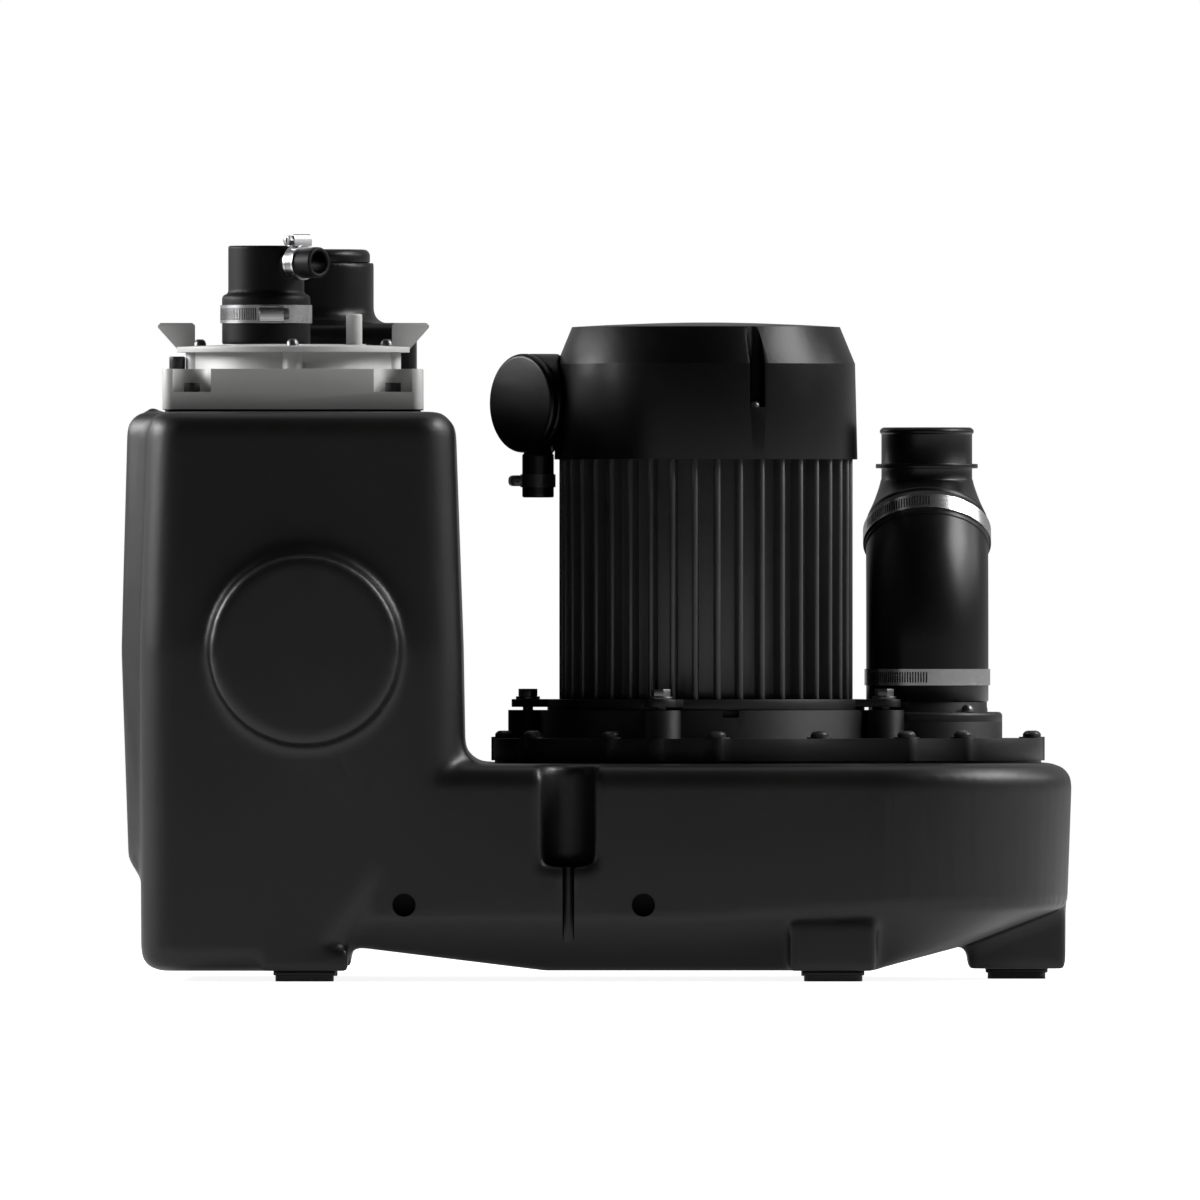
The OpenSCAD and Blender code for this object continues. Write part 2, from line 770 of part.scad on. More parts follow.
module foot_pads() {
  pad_y = tank_half - base_draft - foot_depth / 2;
  places = [
    [tower_foot_x, -pad_y], [tower_foot_x, pad_y],
    [pump_foot_x, -pad_y], [pump_foot_x, pad_y], [end_foot_x, 0]
  ];
  step = 2.5;
  color([0.09, 0.09, 0.09]) around(places, 0) {
    rounded_plate(pad_width - step, pad_width - step, 5, pad_height - step);
    translate([0, 0, pad_height - step]) rounded_plate(pad_width, pad_width, 5, step);
  }
}

module cover_gasket() {
  color([0.1, 0.1, 0.1]) at_motor() translate([0, 0, deck_height]) difference() {
    linear_extrude(gasket_thickness) cover_outline(1);
    translate([0, 0, -1]) linear_extrude(gasket_thickness + 2) cover_outline(rim_width);
    around(rim_points(), -1) cylinder(r = bolt_hole, h = gasket_thickness + 2);
  }
}

module pump_cover() {
  hub = seal_radius + 8;
  hub_top = cover_low + seal_length + 4;
  lobe = cover_radius - lug_boss + 2;
  slot = [9.4, 4.2];
  color([0.12, 0.12, 0.13]) difference() {
    union() {
      at_motor() {
        translate([0, 0, cover_low]) linear_extrude(cover_thickness) cover_outline(0);
        around(rim_points(), cover_low) cylinder(d = rim_boss, h = cover_thickness + 0.8);
        difference() {
          translate([0, 0, cover_low]) cylinder(r = seat_radius, h = seat_top - cover_low);
          translate([0, 0, cover_high - 4]) cylinder(r = seat_radius - seat_wall, h = 60);
        }
        translate([0, 0, cover_low]) cylinder(r = hub, h = hub_top - cover_low);
        for (a = lug_angles) {
          translate(polar(lug_pitch_radius, a)) translate([0, 0, cover_low])
            cylinder(r = lug_boss, h = seat_top - cover_low);
          translate(polar(lobe, a)) translate([0, 0, cover_low])
            cylinder(r = lug_boss, h = cover_thickness);
        }
      }
      at_outlet() translate([0, 0, cover_low])
        cylinder(r = outlet_base_radius, h = nozzle_low - cover_low);
    }
    at_motor() {
      around(rim_points(), cover_low - 1) cylinder(r = bolt_hole, h = cover_thickness + 10);
      around(rim_points(), cover_high + 0.8) cylinder(d = dome_diameter + 1.2, h = 30);
      translate([0, 0, cover_low - 1]) cylinder(r = seal_radius + seat_clearance, h = seal_length + 1);
      translate([0, 0, cover_low - 1]) cylinder(r = shaft_radius + 1.5, h = seal_length + 20);
      for (a = lug_angles) translate(polar(lug_pitch_radius, a)) translate([0, 0, cover_high - 6])
        cylinder(r = bolt_hole, h = 60);
      translate([slot[0], -seat_radius - 5, seat_top - slot[1]]) cube([slot[0], 30, 20]);
      around(volute_screw_points(), cover_low - 1) cylinder(r = 2.5 + bolt_clearance, h = 8.5);
    }
    at_outlet() {
      translate([0, 0, cover_low - 1]) cylinder(r = channel_radius, h = 60);
      nozzle_screw_places(cover_high - 4) cylinder(d = nozzle_screw_size + 2 * bolt_clearance, h = 60);
    }
    at_motor() translate([0, 0, nozzle_low]) cylinder(r = seat_radius - seat_wall, h = 60);
  }
}
function volute_screw_points() = [for (a = [60, 120, 240, 300]) polar(volute_radius + volute_wall + 6, a)];
module nozzle_screw_places(z) {
  for (a = nozzle_screw_angles) translate(polar(nozzle_screw_radius, a)) translate([0, 0, z]) children();
}

module cover_bolts() {
  color([0.2, 0.2, 0.21]) at_motor() around(rim_points(), cover_high + 0.8) {
    pan_head(dome_diameter, dome_height);
    drop = cover_high + 0.8 - deck_height + bolt_reach;
    translate([0, 0, -drop]) cylinder(d = bolt_size, h = drop + 1);
  }
}

module motor_flange() {
  boss = bearing_outer + 7;
  boss_top = lower_bearing_low + bearing_width + 1;
  color([0.13, 0.13, 0.14]) at_motor() difference() {
    union() {
      translate([0, 0, flange_low]) linear_extrude(flange_thickness) {
        circle(flange_radius);
        for (a = lug_angles) {
          translate(polar(lug_pitch_radius, a)) circle(lug_radius);
          rotate(a) translate([0, -lug_radius]) square([lug_pitch_radius, 2 * lug_radius]);
        }
      }
      translate([0, 0, seat_top]) cylinder(r = seat_radius - 4, h = lug_gap + 1);
      translate([0, 0, seat_top - 5])
        cylinder(r = seat_radius - seat_wall - seat_clearance, h = 6);
      translate([0, 0, flange_low]) cylinder(r = boss, h = boss_top - flange_low);
    }
    translate([0, 0, lower_bearing_low]) cylinder(r = bearing_outer + seat_clearance, h = 60);
    translate([0, 0, seat_top - 20]) cylinder(r = bearing_outer - 6, h = 60);
    translate([0, 0, seat_top - 20]) cylinder(r = seal_radius + 8 + 3, h = 20 + lug_gap);
    for (a = lug_angles) translate(polar(lug_pitch_radius, a)) translate([0, 0, seat_top - 1])
      cylinder(r = bolt_hole, h = 20);
  }
}
module motor_bolts() {
  head_low = flange_high + washer_thickness;
  color([0.45, 0.45, 0.46]) at_motor() for (a = lug_angles)
    translate(polar(lug_pitch_radius, a)) translate([0, 0, head_low]) {
      rotate(lug_turn) cylinder(d = hex_flats / cos(30), h = hex_height, $fn = 6);
      drop = head_low - cover_high + 4;
      translate([0, 0, -drop]) cylinder(d = bolt_size, h = drop + 1);
    }
}
module motor_washers() {
  color([0.5, 0.5, 0.51]) at_motor() for (a = lug_angles)
    translate(polar(lug_pitch_radius, a)) translate([0, 0, flange_high])
      ring(washer_diameter / 2, bolt_hole, washer_thickness);
}

module stator_housing() {
  tip = fin_thickness / 2;
  color([0.14, 0.14, 0.15]) at_motor() translate([0, 0, flange_high]) linear_extrude(housing_height)
    difference() {
      union() {
        circle(housing_radius);
        for (k = [0:fin_count - 1]) rotate((k + 0.5) * 360 / fin_count) {
          translate([housing_bore + 2, -tip])
            square([fin_radius - tip - housing_bore - 2, fin_thickness]);
          translate([fin_radius - tip, 0]) circle(tip, $fn = 16);
        }
      }
      circle(housing_bore);
    }
}
module stator_core() {
  color([0.5, 0.5, 0.52]) at_motor() translate([0, 0, core_low])
    ring(housing_bore - seat_clearance, core_bore, core_length);
}
module stator_winding() {
  inner = core_bore + 5;
  outer = housing_bore - 6;
  round = (outer - inner) / 2;
  module end_turns(height) rotate_extrude() {
    translate([inner, 0]) square([outer - inner, height]);
    translate([inner + round, height]) circle(round);
  }
  color([0.72, 0.4, 0.2]) at_motor() {
    translate([0, 0, core_high]) end_turns(9.5);
    translate([0, 0, core_low]) mirror([0, 0, 1]) end_turns(9.5);
  }
}
module motor_shaft() {
  tip = cutter_low;
  thread = 3;
  color([0.65, 0.65, 0.67]) at_motor() rotate_extrude() difference() {
    polygon([
      [0, tip], [wheel_seat, tip], [wheel_seat, disc_high], [shaft_radius, disc_high],
      [shaft_radius, core_low - 4], [rotor_seat, core_low - 4], [rotor_seat, core_high + 4],
      [shaft_radius, core_high + 4], [shaft_radius, shaft_top], [0, shaft_top]
    ]);
    translate([0, tip - 1]) square([thread + bolt_clearance, 19]);
  }
}
module rotor_core() {
  color([0.42, 0.42, 0.44]) at_motor() translate([0, 0, core_low])
    ring(core_bore - air_gap, rotor_seat + running_clearance, core_length);
}

module race_groove() translate([bearing_pitch, bearing_width / 2]) circle(ball_radius + running_clearance);
module each_bearing() {
  at_motor() {
    translate([0, 0, lower_bearing_low]) children();
    translate([0, 0, upper_bearing_low]) children();
  }
}
module bearing_inner_races() {
  bore = shaft_radius + running_clearance;
  color([0.75, 0.75, 0.77]) each_bearing() rotate_extrude() difference() {
    translate([bore, 0]) square([bearing_pitch - race_gap - bore, bearing_width]);
    race_groove();
  }
}
module bearing_outer_races() {
  inner = bearing_pitch + race_gap;
  color([0.75, 0.75, 0.77]) each_bearing() rotate_extrude() difference() {
    translate([inner, 0]) square([bearing_outer - inner, bearing_width]);
    race_groove();
  }
}
module bearing_balls() {
  color([0.8, 0.8, 0.82]) each_bearing() for (k = [0:ball_count - 1])
    rotate(k * 360 / ball_count) translate([bearing_pitch, 0, bearing_width / 2]) sphere(ball_radius);
}
module shaft_seal() {
  color([0.2, 0.2, 0.22]) at_motor() translate([0, 0, cover_low])
    ring(seal_radius, shaft_radius + running_clearance, seal_length);
}

module upper_shield() {
  boss = bearing_outer + 7;
  rim = hood_radius - hood_taper - hood_skin + 0.7;
  color([0.3, 0.3, 0.32]) at_motor() difference() {
    union() {
      translate([0, 0, housing_top]) cylinder(r = rim, h = shield_thickness);
      translate([0, 0, upper_bearing_low - 1]) cylinder(r = boss, h = housing_top - upper_bearing_low + 2);
      for (a = hood_screw_angles) translate(polar(hood_screw_radius, a)) translate([0, 0, housing_top])
        cylinder(r = rim - hood_screw_radius - 0.2, h = post_top - housing_top);
    }
    translate([0, 0, upper_bearing_low - 2])
      cylinder(r = bearing_outer + seat_clearance, h = bearing_width + 2);
    translate([0, 0, upper_bearing_low]) cylinder(r = shaft_radius + 2, h = bearing_width + 4);
    for (a = hood_screw_angles) translate(polar(hood_screw_radius, a)) translate([0, 0, housing_top + 1])
      cylinder(d = hood_screw_size + 2 * bolt_clearance, h = 60);
  }
}
module run_capacitor() {
  saddle = 5;
  color([0.75, 0.75, 0.76]) at_motor() translate([0, 34, shield_top + saddle + capacitor_radius]) {
    rotate([0, 90, 0]) cylinder(r = capacitor_radius, h = capacitor_length, center = true);
    for (x = [-1, 1]) translate([x * capacitor_length / 3 - 3, -10, -capacitor_radius - saddle])
      cube([6, 20, saddle + 6]);
  }
}

// The hood's outline, grown by an allowance for the pieces that fit against it
module hood_outline(grow) {
  wall_top = hood_low + hood_wall_height;
  shoulder_top = wall_top + shoulder_height;
  top_radius = hood_radius - hood_taper - shoulder_inset + grow;
  dome = (top_radius * top_radius + hood_dome * hood_dome) / (2 * hood_dome);
  polygon([
    [0, hood_low], [hood_radius + grow, hood_low], [hood_radius - hood_taper + grow, wall_top],
    [top_radius, shoulder_top + grow], [0, shoulder_top + grow]
  ]);
  intersection() {
    translate([0, shoulder_top + grow + hood_dome - dome]) circle(dome, $fn = 1440);
    translate([0, shoulder_top - 1]) square([top_radius, hood_dome + grow + 2]);
  }
}
module motor_hood() {
  color([0.06, 0.06, 0.065]) at_motor() difference() {
    rotate_extrude() hood_outline(0);
    difference() {
      translate([0, 0, -0.01]) rotate_extrude() hood_outline(-hood_skin);
      for (a = hood_screw_angles) translate(polar(hood_screw_radius, a)) translate([0, 0, post_top])
        cylinder(d = channel_width + 2 * hood_skin, h = 90);
    }
    for (a = hood_screw_angles) rotate(a) translate([hood_screw_radius, 0, 0]) {
      translate([0, 0, hood_ledge]) cylinder(d = channel_width, h = 90);
      translate([0, -channel_width / 2, hood_ledge]) cube([40, channel_width, 90]);
      translate([0, 0, post_top - 1]) cylinder(d = hood_screw_size + 2 * bolt_clearance, h = 20);
    }
  }
}
module hood_screws() {
  shank = 12;
  color([0.7, 0.7, 0.72]) at_motor() for (a = hood_screw_angles)
    translate(polar(hood_screw_radius, a)) translate([0, 0, hood_ledge]) {
      pan_head(hood_screw_head, 3.4);
      translate([0, 0, -shank]) cylinder(d = hood_screw_size, h = shank + 1);
    }
}

module terminal_housing() {
  body_depth = 20;
  gland_low = terminal_height - terminal_radius - 22;
  color([0.06, 0.06, 0.065]) difference() {
    union() {
      hull() {
        at_terminal() translate([0, 0, -lid_thickness - body_depth])
          cylinder(r = terminal_radius, h = body_depth, $fn = 48);
        translate([motor_x - 76, 6, terminal_height]) rotate([0, 90, 0])
          cylinder(r = terminal_radius, h = 2, $fn = 48);
      }
      translate([motor_x - nozzle_reach, -2, gland_low])
        cylinder(r = nozzle_radius - 1.6, h = terminal_height - gland_low - 16);
    }
    at_motor() translate([0, 0, -0.02]) rotate_extrude() hood_outline(seat_clearance);
    at_motor() translate([0, 0, hood_low - 60]) cylinder(r = hood_radius + seat_clearance, h = 60);
    at_terminal() translate([0, 0, -lid_thickness - wiring_depth])
      cylinder(r = terminal_radius - 3, h = 60);
    translate([motor_x - nozzle_reach, -2, gland_low - 1]) cylinder(r = cable_radius, h = 40);
  }
}
module terminal_block() {
  color([0.8, 0.8, 0.78]) at_terminal() translate([0, 0, -lid_thickness - wiring_depth]) difference() {
    translate([-20, -8, 0]) cube([22, 16, 8]);
    for (x = [-15, -9, -3]) translate([x, 0, 2]) cylinder(r = 2.5, h = 10);
  }
}
module terminal_lid() {
  spigot = 4;
  color([0.06, 0.06, 0.065]) at_terminal() translate([0, 0, -lid_thickness]) {
    disc_edge(terminal_radius, lid_thickness, 2.5);
    translate([0, 0, -spigot]) ring(terminal_radius - 3 - seat_clearance, terminal_radius - 6, spigot + 1);
  }
}
module cable_nozzle() {
  nozzle_top_z = terminal_height - terminal_radius;
  color([0.08, 0.08, 0.08]) translate([motor_x - nozzle_reach, -2, nozzle_top_z - nozzle_length])
    difference() {
      disc_edge(nozzle_radius, nozzle_length - 0.4, 0.8);
      translate([0, 0, nozzle_length - 22])
        cylinder(r = nozzle_radius - 1.6 + seat_clearance, h = 40);
      translate([0, 0, -1]) cylinder(r = cable_radius, h = 40);
    }
}

// A worm-drive hose clamp round the Z axis, with its worm housing towards +X
module hose_clamp(radius, width) {
  inner = radius + seat_clearance;
  house = 2 * worm_radius + 2.4;
  difference() {
    union() {
      ring(inner + band_thickness, inner, width);
      translate([inner + 0.2, -7, 0.6]) cube([house + 0.4, 14, width - 1.2]);
    }
    translate([0, 0, -1]) cylinder(r = inner, h = width + 2);
    translate([inner + band_thickness + house / 2 - 0.6, -20, width / 2])
      rotate([-90, 0, 0]) cylinder(r = worm_radius + bolt_clearance, h = 40);
  }
}
module worm_screw(radius, width) {
  inner = radius + seat_clearance;
  house = 2 * worm_radius + 2.4;
  translate([inner + band_thickness + house / 2 - 0.6, -7, width / 2]) rotate([-90, 0, 0]) {
    cylinder(r = worm_radius, h = 14);
    translate([0, 0, 14]) cylinder(d = 5.8 / cos(30), h = 3.4, $fn = 6);
  }
}
module lower_clamp_place() {
  at_outlet() translate([0, 0, elbow_low + 9.6]) rotate(115) children();
}
module upper_clamp_place() {
  at_cuff() translate([0, 0, cuff_length / 2 - 0.2 - elbow_clamp_width / 2]) rotate(90) children();
}
module vent_clamp_place() at_vent() translate([0, 0, 12.2]) rotate(-84) children();
module branch_clamp_place() {
  at_vent() translate([0, 0, branch_height - lid_top]) rotate(branch_turn - 90) rotate([0, 90, 0])
    translate([0, 0, sleeve_radius + 1.6]) rotate(180) children();
}
module cable_clamp_place() {
  translate([motor_x - nozzle_reach, -2, terminal_height - terminal_radius - 20]) rotate(185) children();
}
module cable_clamp() {
  color([0.1, 0.1, 0.1]) cable_clamp_place() hose_clamp(nozzle_radius, small_clamp_width);
}
module lower_clamp() {
  color([0.75, 0.75, 0.76]) lower_clamp_place() hose_clamp(elbow_radius, elbow_clamp_width);
}
module upper_clamp() {
  color([0.75, 0.75, 0.76]) upper_clamp_place() hose_clamp(cuff_radius, elbow_clamp_width);
}
module vent_clamp() {
  color([0.75, 0.75, 0.76]) vent_clamp_place() hose_clamp(collar_radius, vent_clamp_width);
}
module branch_clamp() {
  color([0.75, 0.75, 0.76]) branch_clamp_place() hose_clamp(branch_radius, small_clamp_width);
}
module clamp_screws() {
  color([0.75, 0.75, 0.76]) {
    cable_clamp_place() worm_screw(nozzle_radius, small_clamp_width);
    lower_clamp_place() worm_screw(elbow_radius, elbow_clamp_width);
    upper_clamp_place() worm_screw(cuff_radius, elbow_clamp_width);
    vent_clamp_place() worm_screw(collar_radius, vent_clamp_width);
    branch_clamp_place() worm_screw(branch_radius, small_clamp_width);
  }
}

module volute_casing() {
  outer = volute_radius + volute_wall;
  chamber_low = volute_low + volute_wall;
  duct_half = 18;
  duct_wall = 7;
  duct_start = volute_radius / 2;
  duct_low = chamber_low + 8;
  duct_high = cover_low - 10;
  reach = sqrt(pow(cover_end_offset, 2) + pow(outlet_back, 2));
  turn = atan2(outlet_back, cover_end_offset);
  flange = 10;
  color([0.25, 0.25, 0.27]) at_motor() difference() {
    union() {
      translate([0, 0, volute_low]) cylinder(r = outer, h = cover_low - volute_low);
      around(volute_screw_points(), cover_low - flange) cylinder(r = 8, h = flange);
      rotate(turn) {
        translate([duct_start, -duct_half - duct_wall, duct_low - duct_wall])
          cube([reach - duct_start, 2 * (duct_half + duct_wall), duct_high - duct_low + 1.5 * duct_wall]);
        translate([reach, 0, duct_low - duct_wall - 1])
          cylinder(r = channel_radius + duct_wall, h = cover_low - duct_low + duct_wall + 1);
      }
    }
    translate([0, 0, chamber_low]) cylinder(r = volute_radius, h = 100);
    translate([0, 0, volute_low - 1]) cylinder(r = cutting_ring_radius + seat_clearance, h = 40);
    rotate(turn) {
      translate([duct_start, -duct_half, duct_low])
        cube([reach - duct_start, 2 * duct_half, duct_high - duct_low]);
      translate([reach, 0, duct_low - 1]) cylinder(r = channel_radius, h = 100);
    }
    around(volute_screw_points(), cover_low - 20) cylinder(r = 2.5 + bolt_clearance, h = 40);
    for (a = [30, 150, 270]) translate(polar(cutting_ring_radius + 6, a)) translate([0, 0, volute_low - 1])
      cylinder(r = 2 + bolt_clearance, h = 7);
  }
}
module volute_screws() {
  flange = 10;
  color([0.7, 0.7, 0.72]) at_motor() around(volute_screw_points(), cover_low - flange) {
    translate([0, 0, -5]) cylinder(d = 8.5, h = 5);
    cylinder(r = 2.5, h = flange + 6);
  }
}
module cutting_ring() {
  insert = volute_wall + 2;
  flange = 4;
  notch = 4;
  color([0.6, 0.6, 0.62]) at_motor() translate([0, 0, volute_low]) difference() {
    union() {
      translate([0, 0, -flange]) cylinder(r = cutting_ring_radius + 10.5, h = flange);
      cylinder(r = cutting_ring_radius, h = insert);
    }
    translate([0, 0, -flange - 1]) cylinder(r = eye_radius, h = 40);
    for (k = [0:7]) rotate(k * 45) translate([eye_radius - 2, -notch / 2, -flange - 1])
      cube([5, notch, insert]);
    for (a = [30, 150, 270]) translate(polar(cutting_ring_radius + 6, a)) translate([0, 0, -flange - 1])
      cylinder(r = 2 + bolt_clearance, h = 20);
  }
}
module cutting_ring_screws() {
  flange = 4;
  color([0.7, 0.7, 0.72]) at_motor() for (a = [30, 150, 270])
    translate(polar(cutting_ring_radius + 6, a)) translate([0, 0, volute_low - flange]) {
      translate([0, 0, -3]) cylinder(d = 7, h = 3);
      cylinder(r = 2, h = flange + 5);
    }
}
module impeller() {
  hub = wheel_seat + 8;
  arc_radius = 42;
  color([0.35, 0.35, 0.37]) at_motor() difference() {
    union() {
      translate([0, 0, disc_low]) cylinder(r = impeller_radius, h = impeller_disc);
      translate([0, 0, vane_low]) cylinder(r = hub, h = disc_high - vane_low);
      translate([0, 0, vane_low]) intersection() {
        for (k = [0:vane_count - 1]) rotate(k * 360 / vane_count)
          translate([hub - 3, -arc_radius, 0]) rotate(90 - vane_arc - 30)
            rotate_extrude(angle = vane_arc + 30)
              translate([arc_radius - 2, 0]) square([4, vane_height + 1]);
        cylinder(r = impeller_radius - 1, h = vane_height + 1);
      }
    }
    translate([0, 0, vane_low - 1]) cylinder(r = wheel_seat + running_clearance, h = 100);
  }
}
module cutter_rotor() {
  reach = eye_radius - cutter_gap;
  height = 20;
  color([0.7, 0.7, 0.72]) at_motor() difference() {
    union() {
      translate([0, 0, cutter_low]) cylinder(r = wheel_seat + 5, h = vane_low - cutter_low);
      translate([0, 0, cutter_low]) intersection() {
        cylinder(r = reach, h = height);
        linear_extrude(height) for (k = [0:blade_count - 1]) rotate(k * 360 / blade_count)
          polygon([[wheel_seat + 2, -6], [reach + 2, -1], [reach + 2, 4], [wheel_seat + 2, 6]]);
      }
    }
    translate([0, 0, cutter_low - 1]) cylinder(r = wheel_seat + running_clearance, h = 60);
  }
}
module cutter_screw() {
  color([0.7, 0.7, 0.72]) at_motor() translate([0, 0, cutter_low]) {
    translate([0, 0, -2]) cylinder(r = wheel_seat + 3, h = 2);
    translate([0, 0, -7]) cylinder(d = 10 / cos(30), h = 5, $fn = 6);
    translate([0, 0, -3]) cylinder(r = 3, h = 19);
  }
}

module discharge_nozzle() {
  color([0.1, 0.1, 0.1]) difference() {
    at_outlet() translate([0, 0, nozzle_low]) {
      disc_edge(outlet_base_radius, nozzle_flange, 2.4);
      cylinder(r = elbow_radius - 0.9, h = nozzle_flange + nozzle_shoulder);
      cylinder(r = sleeve_fit, h = nozzle_flange + nozzle_shoulder + nozzle_spigot);
    }
    at_outlet() {
      translate([0, 0, nozzle_low - 1]) cylinder(r = channel_radius, h = 100);
      nozzle_screw_places(nozzle_low - 1) cylinder(d = nozzle_screw_size + 2 * bolt_clearance, h = 20);
    }
    at_motor() {
      translate([0, 0, nozzle_low - 1]) cylinder(r = seat_radius + 0.4, h = 60);
      for (a = lug_angles) translate(polar(lug_pitch_radius, a)) translate([0, 0, nozzle_low - 1])
        cylinder(r = lug_boss + 0.4, h = nozzle_flange + 1);
    }
  }
}
module nozzle_screws() {
  reach = nozzle_flange + outlet_base_height + 2;
  color([0.6, 0.6, 0.62]) at_outlet() nozzle_screw_places(nozzle_top) {
    pan_head(7, 4);
    translate([0, 0, -reach]) cylinder(d = nozzle_screw_size, h = reach + 1);
  }
}
module elbow_path(radius) {
  at_outlet() translate([0, 0, elbow_low]) cylinder(r = radius, h = elbow_rise);
  translate([outlet_x, outlet_back + bend_radius, bend_low]) rotate([90, 0, -90])
    rotate_extrude(angle = bend_angle, $fn = 96) translate([bend_radius, 0]) circle(radius);
}
module discharge_elbow() {
  lap = 6;
  color([0.05, 0.05, 0.05]) difference() {
    union() {
      elbow_path(elbow_radius);
      at_cuff() translate([0, 0, -lap]) cylinder(r = cuff_radius, h = cuff_length + lap);
    }
    elbow_path(elbow_bore);
    at_cuff() translate([0, 0, -lap / 2]) cylinder(r = cuff_bore, h = cuff_length + lap);
    at_outlet() translate([0, 0, elbow_low - 1]) cylinder(r = elbow_bore, h = 2);
  }
}
module outlet_piece() {
  chamber = flap_seat + 0.5;
  pin = hinge_place();
  color([0.05, 0.05, 0.05]) difference() {
    union() {
      at_cuff() translate([0, 0, 0.5]) cylinder(r = cuff_bore - seat_clearance, h = cuff_length);
      hull() {
        at_cuff() translate([0, 0, cuff_length]) cylinder(r = elbow_radius - 0.5, h = 3, $fn = 48);
        translate([outlet_x, spigot_y, spigot_low - 2])
          cylinder(r = spigot_radius + 0.6, h = 2, $fn = 48);
      }
      translate([outlet_x, spigot_y, spigot_low - 1]) {
        cylinder(r = spigot_radius, h = spigot_length + 1);
        translate([0, 0, 8]) cylinder(r = spigot_ring, h = 2.6);
      }
    }
    at_cuff() {
      translate([0, 0, -1]) cylinder(r = seat_bore, h = 10);
      translate([0, 0, chamber]) cylinder(r = chamber_radius, h = cuff_length - chamber + 0.5);
      translate(pin) rotate([0, 90, 0])
        cylinder(r = pin_radius + running_clearance, h = 2 * hinge_offset - 9, center = true);
    }
    hull() {
      at_cuff() translate([0, 0, cuff_length - 2]) cylinder(r = chamber_radius - 0.5, h = 1, $fn = 48);
      translate([outlet_x, spigot_y, spigot_low])
        cylinder(r = spigot_radius - spigot_wall - 0.5, h = 1, $fn = 48);
    }
    translate([outlet_x, spigot_y, spigot_low - 1])
      cylinder(r = spigot_radius - spigot_wall, h = spigot_length + 5);
  }
}
function hinge_place() = [0, -hinge_offset, 0.5 + flap_seat + flap_thickness + 0.2];
module check_flap() {
  knuckle = flap_thickness;
  pin = hinge_place();
  color([0.12, 0.12, 0.12]) at_cuff() difference() {
    union() {
      intersection() {
        translate([0, 0, 0.5 + flap_seat]) cylinder(r = flap_radius, h = flap_thickness);
        translate([-40, -hinge_offset, 0]) cube([80, 80, 20]);
      }
      translate(pin) rotate([0, 90, 0]) cylinder(r = knuckle, h = 14, center = true);
    }
    translate(pin) rotate([0, 90, 0])
      cylinder(r = pin_radius + running_clearance, h = 60, center = true);
  }
}
module flap_pin() {
  color([0.7, 0.7, 0.72]) at_cuff() translate(hinge_place()) rotate([0, 90, 0])
    cylinder(r = pin_radius, h = 2 * hinge_offset - 9.4, center = true);
}

module inspection_base() {
  half = base_width / 2;
  color([0.62, 0.63, 0.64]) at_base() difference() {
    union() {
      translate([0, 0, base_low]) rounded_plate(base_width, base_width, 6, base_height);
      translate([0, 0, base_low]) cylinder(r = neck_radius, h = neck_top - base_low);
      for (a = [0:90:270]) translate(polar(lid_screw_radius + 2.5, a)) translate([0, 0, base_low])
        cylinder(r = lid_boss, h = neck_top - base_low);
    }
    translate([0, 0, base_low - 1]) cylinder(r = inspection_radius, h = 60);
    for (x = [-1, 1], y = [-1, 1]) translate([x * base_screw_reach, y * base_screw_reach, 0]) {
      translate([0, 0, base_top - screw_pocket_depth]) {
        cylinder(d = screw_pocket, h = screw_pocket_depth + 1);
        translate([-screw_pocket / 2, min(0, y * half), 0])
          cube([screw_pocket, half, screw_pocket_depth + 1]);
      }
      translate([0, 0, base_low - 1]) cylinder(d = base_screw_size + 2 * bolt_clearance, h = 60);
    }
    translate([0, 0, neck_top - 1.5]) ring(neck_radius - 5, inspection_radius + 1.5, 5);
    for (a = [0:90:270]) translate(polar(lid_screw_radius, a)) translate([0, 0, neck_top - 14])
      cylinder(d = lid_screw_size + 2 * bolt_clearance, h = 30);
    translate([-plug_reach, 0, base_top - 6]) cylinder(r = 2.5 + seat_clearance, h = 20);
  }
}
module base_gasket() {
  color([0.1, 0.1, 0.1]) at_base() translate([0, 0, tower_height]) difference() {
    rounded_plate(base_width - 3, base_width - 3, 5, gasket_thickness);
    translate([0, 0, -1]) cylinder(r = inspection_radius, h = gasket_thickness + 2);
    base_screw_places(-1) cylinder(d = base_screw_size + 2 * bolt_clearance, h = gasket_thickness + 2);
  }
}
module base_screws() {
  head_low = base_top - screw_pocket_depth;
  color([0.3, 0.3, 0.31]) at_base() base_screw_places(head_low) {
    difference() {
      cylinder(d = 9.2, h = 5.4);
      translate([0, 0, 2.6]) cylinder(d = 4.6, h = 5, $fn = 6);
    }
    drop = head_low - tower_height + 13;
    translate([0, 0, -drop]) cylinder(d = base_screw_size, h = drop + 1);
  }
}
